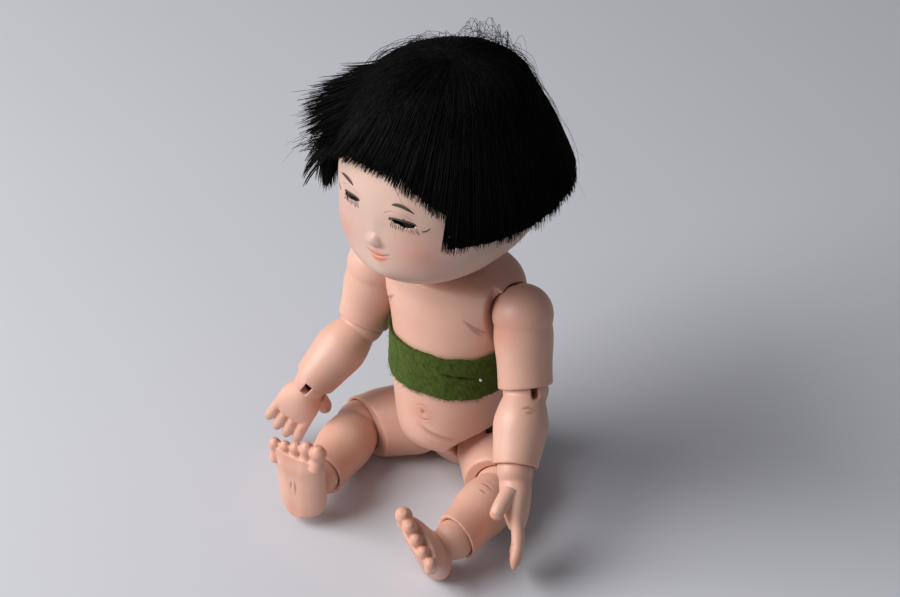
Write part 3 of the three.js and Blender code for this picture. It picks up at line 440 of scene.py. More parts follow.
def spline(points: Sequence[Sequence[float]], share: float) -> np.ndarray:
    """A point on the smooth centripetal curve through some points.

    Args:
        points: The points to pass through.
        share: How far along, from 0 to 1.

    Returns:
        The point as an array.
    """
    known = [np.array(p, float) for p in points]
    span = (len(known) - 1) * share
    index = min(int(span), len(known) - 2)
    weight = span - index
    before = known[index - 1] if index > 0 else 2 * known[0] - known[1]
    after = known[index + 2] if index + 2 < len(known) else 2 * known[-1] - known[-2]
    p0, p1, p2, p3 = before, known[index], known[index + 1], after
    gaps = [max(float(np.linalg.norm(b - a)) ** 0.5, 1e-4) for a, b in ((p0, p1), (p1, p2), (p2, p3))]
    gaps[0] = gaps[1] if gaps[0] < 1e-3 else gaps[0]
    gaps[2] = gaps[1] if gaps[2] < 1e-3 else gaps[2]
    d0, d1, d2 = gaps
    leave = ((p1 - p0) / d0 - (p2 - p0) / (d0 + d1) + (p2 - p1) / d1) * d1
    arrive = ((p2 - p1) / d1 - (p3 - p1) / (d1 + d2) + (p3 - p2) / d2) * d1
    w = weight
    return (p1 + leave * w + (-3 * p1 + 3 * p2 - 2 * leave - arrive) * w ** 2
            + (2 * p1 - 2 * p2 + leave + arrive) * w ** 3)


def section_at(sections: Sequence[Section], share: float) -> Section:
    """The section at a share of the way along a list of sections.

    Args:
        sections: Sections from one end to the other.
        share: How far along, from 0 to 1.

    Returns:
        The section there.
    """
    size = spline([(s.a, s.b, s.z) for s in sections], share)
    middle = spline([(s.x, s.y, 0.0) for s in sections], share)
    return Section(float(size[2]), float(size[0]), float(size[1]), float(middle[0]), float(middle[1]))


def section_at_height(sections: Sequence[Section], height: float) -> Section:
    """The section at one height, found by halving.

    Args:
        sections: Sections from the bottom up.
        height: The height to find.

    Returns:
        The section there.
    """
    low, high = 0.0, 1.0
    for _ in range(30):
        middle = (low + high) / 2
        if section_at(sections, middle).z < height:
            low = middle
        else:
            high = middle
    return section_at(sections, low)


def link(item: Item) -> Item:
    """Puts an object into the scene."""
    bpy.context.scene.collection.objects.link(item)
    return item


def as_mesh(body: Body, name: str) -> Mesh:
    """Turns a body into a mesh and frees it.

    Args:
        body: The body, which is used up.
        name: The mesh's name.

    Returns:
        The mesh.
    """
    mesh = bpy.data.meshes.new(name)
    body.to_mesh(mesh)
    body.free()
    return mesh


def as_body(mesh: Mesh) -> Body:
    """Turns a helper mesh into a body and removes it.

    Args:
        mesh: The mesh, which is used up.

    Returns:
        The body.
    """
    body = bmesh.new()
    body.from_mesh(mesh)
    bpy.data.meshes.remove(mesh)
    return body


def smoothed(mesh: Mesh) -> Mesh:
    """The same mesh, shaded smooth."""
    mesh.polygons.foreach_set("use_smooth", np.ones(len(mesh.polygons), bool))
    return mesh


def circle(count: int) -> list[Pair]:
    """The cosine and sine of evenly spaced turns."""
    turns = [FULL_TURN * step / count for step in range(count)]
    return [(math.cos(turn), math.sin(turn)) for turn in turns]


def skin(rings: Sequence[Ring], closed: bool = False) -> Body:
    """A closed body drawn out from one ring of points through the next.

    Args:
        rings: The rings, each with the same count of points.
        closed: True where the last ring joins the first.

    Returns:
        The body.
    """
    body = bmesh.new()
    count = len(rings[0])
    made = bmesh.ops.create_circle(body, cap_ends=False, radius=1.0, segments=count)
    order = list(made["verts"])
    first = order
    for vert, point in zip(order, rings[0]):
        vert.co = point
    edges = list(body.edges)
    start = edges
    for ring in rings[1:]:
        drawn = bmesh.ops.extrude_edge_only(body, edges=edges)["geom"]
        fresh = {g for g in drawn if isinstance(g, bmesh.types.BMVert)}
        onward = []
        for vert in order:
            onward.append(next(e.other_vert(vert) for e in vert.link_edges if e.other_vert(vert) in fresh))
        order = onward
        for vert, point in zip(order, ring):
            vert.co = point
        edges = [g for g in drawn if isinstance(g, bmesh.types.BMEdge) and fresh.issuperset(g.verts)]
    if closed:
        bmesh.ops.bridge_loops(body, edges=start + edges)
    else:
        bmesh.ops.contextual_create(body, geom=list(first))
        bmesh.ops.contextual_create(body, geom=list(order))
    bmesh.ops.recalc_face_normals(body, faces=body.faces)
    return body


def loft(sections: Sequence[Section], sides: int = 48, rings: int = 40) -> Body:
    """A closed body through elliptical sections listed from the bottom up.

    Args:
        sections: The sections.
        sides: Points round the body.
        rings: Rings along it.

    Returns:
        The body.
    """
    made = []
    for ring in range(rings + 1):
        s = section_at(sections, ring / rings)
        made.append([Vector((s.x + s.a * c, s.y + s.b * n, s.z)) for c, n in circle(sides)])
    return skin(made)


def tube(path: Sequence[Vector], radii: Sequence[Pair], face: Vector,
         sides: int = 20, steps: int = 22) -> Body:
    """A round-ended tube along a bent path, such as a finger.

    Args:
        path: Points that the tube follows.
        radii: The half width and half height at each of them.
        face: The way the tube's height points.
        sides: Points round the tube.
        steps: Rings along it.

    Returns:
        The tube as a closed body.
    """
    rings = []
    for step in range(steps + 1):
        share = step / steps
        here = Vector(spline(path, share))
        ahead = Vector(spline(path, min(1.0, share + 0.02)))
        behind = Vector(spline(path, max(0.0, share - 0.02)))
        along = (ahead - behind).normalized()
        across = along.cross(face).normalized()
        rise = across.cross(along)
        wide, high = spline(radii, share)
        rings.append([here + across * (wide * c) + rise * (high * n) for c, n in circle(sides)])
    return skin(rings)


def ball(radius: float, place: Matrix = Matrix(), sides: int = 48) -> Body:
    """A sphere with its poles on Z.

    Args:
        radius: Its radius.
        place: The frame that it is centred on.
        sides: Points round it.

    Returns:
        The sphere.
    """
    body = bmesh.new()
    bmesh.ops.create_uvsphere(body, u_segments=sides, v_segments=sides // 2, radius=radius, matrix=place)
    return body


def block(size: Vector, place: Matrix = Matrix()) -> Body:
    """A box of full size, centred on its frame.

    Args:
        size: Its length along each axis.
        place: The frame that it is centred on.

    Returns:
        The box.
    """
    body = bmesh.new()
    bmesh.ops.create_cube(body, size=1.0, matrix=place @ Matrix.Diagonal((*size, 1.0)))
    return body


def vast(place: Matrix) -> Body:
    """A block that reaches past the whole doll, centred on its frame."""
    return block(Vector((BIG, BIG, BIG)), place)


def rod(radius: float, start: Vector, end: Vector, place: Matrix = Matrix(), sides: int = 16) -> Body:
    """A plain rod between two points, given in a frame.

    Args:
        radius: The rod's radius.
        start: Its first end.
        end: Its other end.
        place: The frame that the ends are given in.
        sides: Points round it.

    Returns:
        The rod.
    """
    body = bmesh.new()
    run = end - start
    turn = run.to_track_quat("Z", "Y").to_matrix().to_4x4()
    at = place @ Matrix.Translation((start + end) / 2) @ turn
    bmesh.ops.create_cone(body, cap_ends=True, segments=sides, radius1=radius, radius2=radius,
                          depth=run.length, matrix=at)
    return body


def moved(body: Body, matrix: Matrix) -> Body:
    """The same body in another frame."""
    bmesh.ops.transform(body, matrix=matrix, verts=body.verts)
    return body


def hold(body: Body, name: str) -> Item:
    """Puts a body into an object, for the modifiers to work on."""
    return link(bpy.data.objects.new(name, as_mesh(body, name)))


def drop(item: Item) -> None:
    """Takes a helper object and its data out of the file.

    Args:
        item: The object.
    """
    data = item.data
    bpy.data.objects.remove(item)
    if data.users == 0:
        (bpy.data.meshes if isinstance(data, Mesh) else bpy.data.curves).remove(data)


def result(item: Item) -> Mesh:
    """What an object's modifiers make of it."""
    graph = bpy.context.evaluated_depsgraph_get()
    return bpy.data.meshes.new_from_object(item.evaluated_get(graph))


def add_boolean(item: Item, tool: Item, kind: str) -> None:
    """Adds the modifier that joins, cuts or crosses an object with a tool."""
    step = item.modifiers.new(kind, "BOOLEAN")
    step.operation, step.solver, step.object = kind, "EXACT", tool


def add_flow(item: Item, voxel: float) -> None:
    """Adds the modifier that flows an object into one even skin."""
    step = item.modifiers.new("flow", "REMESH")
    step.mode, step.voxel_size = "VOXEL", voxel


def combine(base: Body, other: Body, kind: str) -> Body:
    """Joins, cuts or crosses two bodies without smoothing them.

    Args:
        base: The first body, which is used up.
        other: The second, which is used up too.
        kind: UNION, DIFFERENCE or INTERSECT.

    Returns:
        The new body.
    """
    item, tool = hold(base, "base"), hold(other, "other")
    add_boolean(item, tool, kind)
    made = as_body(result(item))
    drop(item)
    drop(tool)
    return made


def merge(bodies: Sequence[Body], voxel: float = 0.8) -> Body:
    """Flows several overlapping bodies into one.

    Args:
        bodies: The bodies, which are used up.
        voxel: The size of the new faces.

    Returns:
        One body.
    """
    whole = bmesh.new()
    for body in bodies:
        data = as_mesh(body, "part")
        whole.from_mesh(data)
        bpy.data.meshes.remove(data)
    item = hold(whole, "whole")
    add_flow(item, voxel)
    made = as_body(result(item))
    drop(item)
    bmesh.ops.recalc_face_normals(made, faces=made.faces)
    return made


def carve(base: Body, joins: Sequence[Body] = (), cuts: Sequence[Body] = (),
          voxel: float = 0.4, rounds: int = 5) -> Mesh:
    """Joins and cuts bodies, then flows them into one smooth skin.

    Args:
        base: The first body.
        joins: Bodies that are added to it.
        cuts: Bodies that are taken from it.
        voxel: The size of the skin's faces.
        rounds: How many times the skin is smoothed.

    Returns:
        The finished mesh.
    """
    item = hold(base, "work")
    tools = []
    for kind, bodies in (("UNION", joins), ("DIFFERENCE", cuts)):
        for body in bodies:
            tools.append(hold(body, "tool"))
            add_boolean(item, tools[-1], kind)
    add_flow(item, voxel)
    ease = item.modifiers.new("ease", "SMOOTH")
    ease.factor, ease.iterations = 0.5, rounds
    made = result(item)
    for tool in (item, *tools):
        drop(tool)
    made.materials.clear()
    return smoothed(made)


def refine(mesh: Mesh, spots: Sequence[tuple[Vector, float]]) -> Mesh:
    """Halves a mesh's faces near some spots, for finer modelling.

    Args:
        mesh: The mesh, which is changed.
        spots: Places, each with how far round it the faces are halved.

    Returns:
        The same mesh.
    """
    body = bmesh.new()
    body.from_mesh(mesh)
    edges = [e for e in body.edges
             if any((v.co - spot).length < reach for v in e.verts for spot, reach in spots)]
    bmesh.ops.subdivide_edges(body, edges=edges, cuts=1, use_grid_fill=True)
    body.to_mesh(mesh)
    body.free()
    return mesh


@dataclass(frozen=True)
class Groove:
    """How a fold is pressed into a skin: half its width, its depth, the painted shade in it and its lips'
    share.
    """

    width: float = 0.5
    depth: float = 0.5
    stain: float = 0.45
    lips: float = 0.3
    lip_offset: float = 2.1
    stain_spread: float = 1.3


@dataclass(frozen=True)
class Soft:
    """A soft round place: its size, its strength, and how much longer it is along each axis."""

    radius: float
    amount: float
    stretch: Triple = (1, 1, 1)

    def spread(self, points: np.ndarray, centre: Vector) -> np.ndarray:
        """How strong the place is at each point."""
        away = np.linalg.norm((points - np.array(centre)) / np.array(self.stretch), axis=1)
        return self.amount * np.exp(-(away / self.radius) ** 2)


class Surface:
    """A finished mesh in its own frame, whose points are pressed, swelled and painted."""

    def __init__(self, mesh: Mesh, to_doll: Matrix) -> None:
        """Reads the mesh's points and normals.

        Args:
            mesh: A mesh in millimetres.
            to_doll: From the mesh's frame to the doll's.
        """
        self.mesh = mesh
        self.to_doll = to_doll
        self.points = np.zeros(len(mesh.vertices) * 3)
        mesh.vertices.foreach_get("co", self.points)
        self.points = self.points.reshape(-1, 3)
        self.normals = np.zeros(len(mesh.vertices) * 3)
        mesh.vertex_normals.foreach_get("vector", self.normals)
        self.normals = self.normals.reshape(-1, 3)
        self.layers: dict[str, np.ndarray] = {}
        self.refresh()

    def refresh(self) -> None:
        """Makes the search tree again from the points as they now are."""
        polygons = [tuple(p.vertices) for p in self.mesh.polygons]
        self.tree = BVHTree.FromPolygons([Vector(p) for p in self.points], polygons)

    def seen(self, pixel: Pixel) -> Optional[Vector]:
        """The point of this mesh that a pixel of the photograph shows, in the mesh's frame.

        Args:
            pixel: A place in the photograph.

        Returns:
            The point, or nothing where the pixel misses.
        """
        back = self.to_doll.inverted()
        origin = back @ VIEW.place()
        along = back.to_3x3() @ VIEW.ray(pixel)
        return self.tree.ray_cast(origin, along)[0]

    def line(self, pixels: Sequence[Pixel]) -> list[Vector]:
        """The points of this mesh along a line of pixels."""
        found = [self.seen(p) for p in pixels]
        return [f for f in found if f is not None]

    def near(self, line: Sequence[Vector]) -> tuple[np.ndarray, np.ndarray]:
        """How far each point is from a line, and how strong the line is there.

        Args:
            line: The line's points.

        Returns:
            Distances, and strengths that fade from 1 toward the line's ends.
        """
        known = [np.array(p, float) for p in line]
        best = np.full(len(self.points), 1e9)
        share = np.zeros(len(self.points))
        pieces = len(known) - 1
        for index, (a, b) in enumerate(zip(known, known[1:])):
            run = b - a
            t = np.clip(((self.points - a) @ run) / max(run @ run, 1e-9), 0, 1)
            away = np.linalg.norm(self.points - a - t[:, None] * run, axis=1)
            closer = away < best
            best[closer] = away[closer]
            share[closer] = (index + t[closer]) / pieces
        return best, np.sin(np.pi * np.clip(share, 0.02, 0.98)) ** 0.6

    def layer(self, name: str) -> np.ndarray:
        """One of the painted layers, bare at first."""
        return self.layers.setdefault(name, np.zeros(len(self.points)))

    def groove(self, line: Sequence[Vector], how: Groove) -> None:
        """Presses a fold into the skin, with raised lips and painted shade in it.

        Args:
            line: The fold's points, in the mesh's frame.
            how: The fold's form.
        """
        if len(line) < 2:
            return
        away, strength = self.near(line)
        dent = np.exp(-(away / how.width) ** 2) * strength
        lip = np.exp(-((away - how.lip_offset * how.width) / how.width) ** 2) * strength
        self.points += self.normals * (how.lips * how.depth * lip - how.depth * dent)[:, None]
        # Painted shade: the fold layer darkens the skin along and beside the crease.
        stain = how.stain * np.exp(-(away / (how.width * how.stain_spread)) ** 2) * strength
        self.layer("fold")[:] = np.maximum(self.layer("fold"), stain)

    def swell(self, centre: Vector, place: Soft) -> None:
        """Raises a soft round place, or sinks it where its amount is below nothing."""
        self.points += self.normals * place.spread(self.points, centre)[:, None]

    def paint(self, name: str, centre: Vector, place: Soft) -> None:
        """Breathes colour onto a soft round place of a layer."""
        layer = self.layer(name)
        layer[:] = np.clip(layer + place.spread(self.points, centre), 0, 1)

    def stroke(self, name: str, line: Sequence[Vector], place: Soft) -> None:
        """Paints along a line of a layer.

        Args:
            name: The layer.
            line: The stroke's points.
            place: The stroke's half width and strength.
        """
        if len(line) < 2:
            return
        away, strength = self.near(line)
        layer = self.layer(name)
        layer[:] = np.maximum(layer, place.amount * np.exp(-(away / place.radius) ** 4) * strength)

    def settle(self, layers: Sequence[str]) -> Mesh:
        """Writes points and layers back and returns the mesh, set in place in metres.

        Args:
            layers: The layers that the finish reads.

        Returns:
            The mesh.
        """
        self.mesh.vertices.foreach_set("co", self.points.ravel())
        for name in layers:
            held = self.mesh.attributes.new(name, "FLOAT", "POINT")
            held.data.foreach_set("value", self.layer(name).astype(np.float32))
        self.mesh.transform(TO_METRES @ self.to_doll)
        self.mesh.update()
        return self.mesh


def piece(name: str, mesh: Mesh, material: Material, body: str,
          stands_for: Sequence[str] = ()) -> Item:
    """Makes a finished piece that rides on a body.

    Args:
        name: The piece's name.
        mesh: Its mesh, in metres and in place.
        material: Its finish.
        body: The body that it moves with.
        stands_for: The solids that it replaces.

    Returns:
        The piece.
    """
    mesh.name = name
    mesh.materials.clear()
    mesh.materials.append(material)
    made = link(bpy.data.objects.new(name, mesh))
    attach(made, body)
    if stands_for:
        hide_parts(*stands_for)
    LOG.info("%s: %d faces on %s", name, len(mesh.polygons), body)
    return made


def strands(paths: Sequence[Sequence[Vector]], thick: Sequence[float], tips: float = 0.25) -> Mesh:
    """Many fine hairs or fibres as one mesh, in the frame of their points.

    Args:
        paths: Each hair's points.
        thick: Each hair's radius.
        tips: The radius at a hair's tip, as a share of its own.

    Returns:
        The mesh.
    """
    data = bpy.data.curves.new("strands", "CURVE")
    data.dimensions = "3D"
    data.bevel_depth = 1.0
    data.bevel_resolution = 0
    data.use_fill_caps = True
    for path, radius in zip(paths, thick):
        line = data.splines.new("POLY")
        line.points.add(len(path) - 1)
        flat = [c for p in path for c in (p[0], p[1], p[2], 1.0)]
        line.points.foreach_set("co", flat)
        count = len(path)
        sizes = [radius * (1 - (1 - tips) * max(0.0, (i / (count - 1) - 0.6) / 0.4)) for i in range(count)]
        line.points.foreach_set("radius", sizes)
    item = link(bpy.data.objects.new("strands", data))
    made = smoothed(result(item))
    drop(item)
    return made


# Finishes


class Paint:
    """A material's node tree, with short calls to add and join its nodes."""

    def __init__(self, name: str) -> None:
        """Starts a material with one shader.

        Args:
            name: The material's name.
        """
        self.material = bpy.data.materials.new(name)
        self.material.use_nodes = True
        self.tree = self.material.node_tree
        self.tree.nodes.clear()
        self.shader = self.tree.nodes.new("ShaderNodeBsdfPrincipled")
        out = self.tree.nodes.new("ShaderNodeOutputMaterial")
        self.tree.links.new(self.shader.outputs[0], out.inputs["Surface"])
        self.place = self.tree.nodes.new("ShaderNodeTexCoord").outputs["Object"]

    def set(self, **sockets: object) -> "Paint":
        """Sets the shader's own sockets, with an underscore for each space.

        Args:
            sockets: New values, by socket.

        Returns:
            This paint.
        """
        for name, value in sockets.items():
            self.shader.inputs[name.replace("_", " ")].default_value = value
        return self

    def join(self, source: object, target: object) -> None:
        """Joins two sockets."""
        self.tree.links.new(source, target)

    def noise(self, scale: float, detail: float = 3.0, stretch: Triple = (1, 1, 1),
              rough: float = 0.55) -> object:
        """A noise pattern on the piece's own coordinates.

        Args:
            scale: Patches to a metre.
            detail: Octaves.
            stretch: Scale along each axis.
            rough: How strong the small octaves are.

        Returns:
            The pattern's value socket.
        """
        place = self.place
        if stretch != (1, 1, 1):
            mapping = self.tree.nodes.new("ShaderNodeMapping")
            mapping.inputs["Scale"].default_value = stretch
            self.join(place, mapping.inputs["Vector"])
            place = mapping.outputs[0]
        node = self.tree.nodes.new("ShaderNodeTexNoise")
        node.inputs["Scale"].default_value = scale
        node.inputs["Detail"].default_value = detail
        node.inputs["Roughness"].default_value = rough
        self.join(place, node.inputs["Vector"])
        return node.outputs["Fac"]

    def ramp(self, value: object, low: float, high: float, start: float = 0.0, end: float = 1.0) -> object:
        """Spreads a value from one range to another, held at both ends.

        Args:
            value: The value's socket.
            low: Where the known range starts.
            high: Where it ends.
            start: Where the new range starts.
            end: Where that ends.

        Returns:
            The new value's socket.
        """
        node = self.tree.nodes.new("ShaderNodeMapRange")
        for name, number in (("From Min", low), ("From Max", high), ("To Min", start), ("To Max", end)):
            node.inputs[name].default_value = number
        self.join(value, node.inputs["Value"])
        return node.outputs["Result"]

    def mix(self, share: object, first: object, second: object) -> object:
        """A colour between two colours.

        Args:
            share: A socket, or a plain number.
            first: The colour at 0, as a socket or a tuple.
            second: The colour at 1.

        Returns:
            The colour socket.
        """
        node = self.tree.nodes.new("ShaderNodeMix")
        node.data_type = "RGBA"
        for socket, value in ((node.inputs[0], share), (node.inputs[6], first), (node.inputs[7], second)):
            if isinstance(value, (int, float)):
                socket.default_value = value
            elif isinstance(value, tuple):
                socket.default_value = (*value, 1.0)
            else:
                self.join(value, socket)
        return node.outputs[2]

    def layer(self, name: str) -> object:
        """A painted layer of the piece.

        Args:
            name: The layer's name.

        Returns:
            The layer's value socket.
        """
        node = self.tree.nodes.new("ShaderNodeAttribute")
        node.attribute_name = name
        return node.outputs["Fac"]

    def times(self, first: object, second: object) -> object:
        """The product of two values.

        Args:
            first: A socket, or a plain number.
            second: The same.

        Returns:
            The product's socket.
        """
        node = self.tree.nodes.new("ShaderNodeMath")
        node.operation = "MULTIPLY"
        for socket, value in zip(node.inputs, (first, second)):
            if isinstance(value, (int, float)):
                socket.default_value = value
            else:
                self.join(value, socket)
        return node.outputs[0]

    def bump(self, height: object, strength: float, distance: float) -> None:
        """Gives the surface fine relief.

        Args:
            height: The relief's value.
            strength: From 0 to 1.
            distance: Its height in metres.
        """
        node = self.tree.nodes.new("ShaderNodeBump")
        node.inputs["Strength"].default_value = strength
        node.inputs["Distance"].default_value = distance
        self.join(height, node.inputs["Height"])
        self.join(node.outputs[0], self.shader.inputs["Normal"])

    def colour(self, value: object) -> None:
        """Joins a colour to the shader."""
        self.join(value, self.shader.inputs["Base Color"])

    def roughness(self, value: object) -> None:
        """Joins a roughness to the shader."""
        self.join(value, self.shader.inputs["Roughness"])


@dataclass(frozen=True)
class SkinFinish:
    """Satin flesh paint with warm patches, blushed places and painted shade in its folds and hollows."""

    name: str
    base: Colour
    warm: Colour
    blush: Colour
    # fold: the colour of the painted shade in folds and hollows, and also of fine random specks
    fold: Colour
    roughness: Pair = (0.34, 0.46)
    over: tuple[tuple[str, Colour], ...] = ()

    def material(self) -> Material:
        """Makes the paint, with its last layers over the rest.

        Returns:
            The material.
        """
        paint = Paint(self.name)
        paint.set(Specular_IOR_Level=0.42, Subsurface_Weight=0.08, Subsurface_Scale=0.004)
        paint.shader.inputs["Subsurface Radius"].default_value = (1.0, 0.45, 0.28)
        patches = paint.ramp(paint.noise(70.0, 4.0), 0.32, 0.7)
        colour = paint.mix(paint.times(patches, 0.55), self.base, self.warm)
        specks = paint.ramp(paint.noise(900.0, 2.0), 0.66, 0.8)
        colour = paint.mix(paint.times(specks, 0.12), colour, self.fold)
        uneven = paint.ramp(paint.noise(160.0, 3.0), 0.25, 0.75, 0.7, 1.0)
        colour = paint.mix(paint.times(paint.layer("blush"), uneven), colour, self.blush)
        # Painted shade in folds, creases and hollows, from the fold layer.
        colour = paint.mix(paint.layer("fold"), colour, self.fold)
        for name, shade in self.over:
            colour = paint.mix(paint.layer(name), colour, shade)
        paint.colour(colour)
        paint.roughness(paint.ramp(paint.noise(220.0, 3.0), 0.3, 0.7, *self.roughness))
        paint.bump(paint.noise(1500.0, 3.0), 0.12, 0.00015)
        return paint.material


@dataclass(frozen=True)
class HairFinish:
    """Straight black hair with fine streaks along its run."""

    name: str = "black_hair"
    dark: Colour = (0.0010, 0.0009, 0.0009)
    streak: Colour = (0.0036, 0.003, 0.0027)

    def material(self) -> Material:
        """Makes the hair's finish.

        Returns:
            The material.
        """
        paint = Paint(self.name).set(Specular_IOR_Level=0.06)
        streaks = paint.ramp(paint.noise(700.0, 3.0, (1.0, 1.0, 0.06)), 0.45, 0.75)
        paint.colour(paint.mix(streaks, self.dark, self.streak))
        paint.roughness(paint.ramp(streaks, 0.0, 1.0, 0.62, 0.46))
        paint.bump(paint.noise(1600.0, 2.0, (1.0, 1.0, 0.04)), 0.5, 0.0004)
        return paint.material


@dataclass(frozen=True)
class FeltFinish:
    """Green wool felt: matted fibres of several greens, with painted shade in its slit."""

    name: str = "green_felt"
    dark: Colour = (0.016, 0.030, 0.004)
    light: Colour = (0.064, 0.094, 0.012)
    # Painted shade inside the slit cut in the felt.
    seam: Colour = (0.006, 0.012, 0.003)

    def material(self) -> Material:
        """Makes the felt.

        Returns:
            The material.
        """
        paint = Paint(self.name).set(Specular_IOR_Level=0.12, Sheen_Weight=0.35, Sheen_Roughness=0.5)
        paint.shader.inputs["Sheen Tint"].default_value = (0.5, 0.7, 0.25, 1.0)
        clumps = paint.ramp(paint.noise(420.0, 6.0, rough=0.7), 0.3, 0.72)
        fibres = paint.ramp(paint.noise(1700.0, 3.0, (0.35, 0.35, 1.0)), 0.35, 0.7)
        colour = paint.mix(clumps, self.dark, self.light)
        colour = paint.mix(paint.times(fibres, 0.45), colour, self.light)
        # Painted shade: the fold layer darkens the slit almost to black.
        paint.colour(paint.mix(paint.layer("fold"), colour, self.seam))
        paint.set(Roughness=0.95)
        paint.bump(paint.noise(1300.0, 5.0, (0.5, 0.5, 1.0), 0.7), 0.8, 0.0006)
        return paint.material


@dataclass(frozen=True)
class PlainFinish:
    """A small part's finish: one colour, a second in patches, and fine relief."""

    name: str
    base: Colour
    second: Colour
    roughness: float
    metal: float = 0.0
    scale: float = 800.0
    relief: float = 0.1
    coat: float = 0.0

    def material(self) -> Material:
        """Makes the finish.

        Returns:
            The material.
        """
        paint = Paint(self.name).set(Metallic=self.metal, Coat_Weight=self.coat)
        patches = paint.ramp(paint.noise(self.scale, 3.0), 0.35, 0.7)
        paint.colour(paint.mix(patches, self.base, self.second))
        smooth, rough = self.roughness * 0.9, min(1.0, self.roughness * 1.15)
        paint.roughness(paint.ramp(patches, 0.0, 1.0, smooth, rough))
        paint.bump(paint.noise(self.scale * 3, 2.0), self.relief, 0.0001)
        return paint.material


@dataclass(frozen=True)
class ElasticFinish:
    """Covered elastic: thread wound round a rubber core."""

    name: str = "covered_elastic"
    thread: Colour = (0.62, 0.58, 0.48)
    shade: Colour = (0.34, 0.30, 0.23)

    def material(self) -> Material:
        """Makes the elastic.

        Returns:
            The material.
        """
        paint = Paint(self.name).set(Roughness=0.85)
        weave = paint.tree.nodes.new("ShaderNodeTexChecker")
        weave.inputs["Scale"].default_value = 2600.0
        paint.join(paint.place, weave.inputs["Vector"])
        paint.colour(paint.mix(weave.outputs["Fac"], self.thread, self.shade))
        paint.bump(weave.outputs["Fac"], 0.6, 0.0002)
        return paint.material


# Each fold colour is the painted shade of creases and hollows; the face's socket colour is painted shade
# inside the eye openings.
SKIN = SkinFinish("flesh_paint", base=(0.70, 0.42, 0.325), warm=(0.66, 0.35, 0.25),
                  blush=(0.60, 0.225, 0.135), fold=(0.24, 0.075, 0.04))
FACE = SkinFinish("face_paint", base=(0.585, 0.405, 0.33), warm=(0.56, 0.365, 0.29),
                  blush=(0.55, 0.225, 0.165), fold=(0.25, 0.09, 0.06),
                  over=(("lips", (0.58, 0.165, 0.09)), ("socket", (0.012, 0.007, 0.006))))
HAIR = HairFinish()
FELT = FeltFinish()
ELASTIC = ElasticFinish()
WIRE = PlainFinish("steel_wire", (0.44, 0.45, 0.46), (0.30, 0.29, 0.28), 0.35, metal=1.0)
PIN = PlainFinish("pin_head", (0.66, 0.64, 0.58), (0.56, 0.53, 0.47), 0.35, coat=0.2)
BROW = PlainFinish("brow_paint", (0.045, 0.026, 0.018), (0.075, 0.045, 0.03), 0.6)
LASH = PlainFinish("lash_paint", (0.14, 0.052, 0.036), (0.22, 0.085, 0.06), 0.6)
CARD = PlainFinish("head_card", (0.42, 0.33, 0.25), (0.32, 0.24, 0.17), 0.85, scale=300.0, relief=0.4)


# Joint shapes


def arc(centre: Vector, first: Vector, second: Vector, ends: Pair, steps: int = 14) -> list[Vector]:
    """Points along part of an ellipse.

    Args:
        centre: The ellipse's middle.
        first: Its half axis at 0 degrees.
        second: Its half axis at 90 degrees.
        ends: The first and the last angle in degrees.
        steps: How many steps lie between them.

    Returns:
        The points.
    """
    start, end = ends
    turns = [math.radians(start + (end - start) * step / steps) for step in range(steps + 1)]
    return [centre + first * math.cos(t) + second * math.sin(t) for t in turns]


def slot_fan(joint: BallJoint, more: float = 0.0) -> Body:
    """The slot in a ball that the elastic swings through, in the joint's frame.

    Args:
        joint: The ball's joint.
        more: How many degrees longer the slot is.

    Returns:
        The body to cut away.
    """
    half = FITS.cord_radius + FITS.cord_clearance
    reach = joint.ball * 1.3
    start = math.radians(joint.low - FITS.slot_spare)
    end = math.radians(joint.high + FITS.slot_spare + more)

    def point(angle: float, along: float, across: float) -> Vector:
        """One corner of the slot's outline."""
        sine, cosine = math.sin(angle), math.cos(angle)
        return Vector((-half, along * sine + across * cosine, along * cosine - across * sine))

    steps = 14
    outline = [point(start, 0, -half), point(start, reach, -half)]
    outline += [point(start + (end - start) * step / steps, reach, 0) for step in range(1, steps)]
    outline += [point(end, reach, half), point(end, 0, half), point((start + end) / 2, -half, 0)]
    return skin([outline, [p + Vector((2 * half, 0, 0)) for p in outline]])


def channel(joint: BallJoint, place: Matrix) -> Body:
    """The elastic's channel on the inner side of a joint."""
    return rod(FITS.cord_radius + FITS.cord_clearance, Vector(), Vector((0, 0, joint.cord_length)), place)


def cup(joint: BallJoint, place: Matrix) -> Body:
    """The hollow that a ball turns in."""
    return ball(joint.ball + FITS.ball_gap, place)


def hook_room(place: Matrix = Matrix()) -> list[Body]:
    """The hollow for a hand's, a foot's or the head's hook and its cross pin.

    Args:
        place: The frame of the ball over the hook.

    Returns:
        The bodies to cut away.
    """
    deep, wide, low = 9.95, 2.95, 7.0
    half, hole = 4.85, 1.15
    return [
        rod(wide, Vector(), Vector((0, 0, -deep)), place),
        rod(hole, Vector((-half, 0, -low)), Vector((half, 0, -low)), place),
    ]


@dataclass(frozen=True)
class Fold:
    """A fold in the skin, along a line of the photograph's pixels."""

    pixels: PixelLine
    how: Groove = Groove()


@dataclass(frozen=True)
class Blush:
    """A warm breath of paint around a pixel of the photograph."""

    pixel: Pixel
    place: Soft


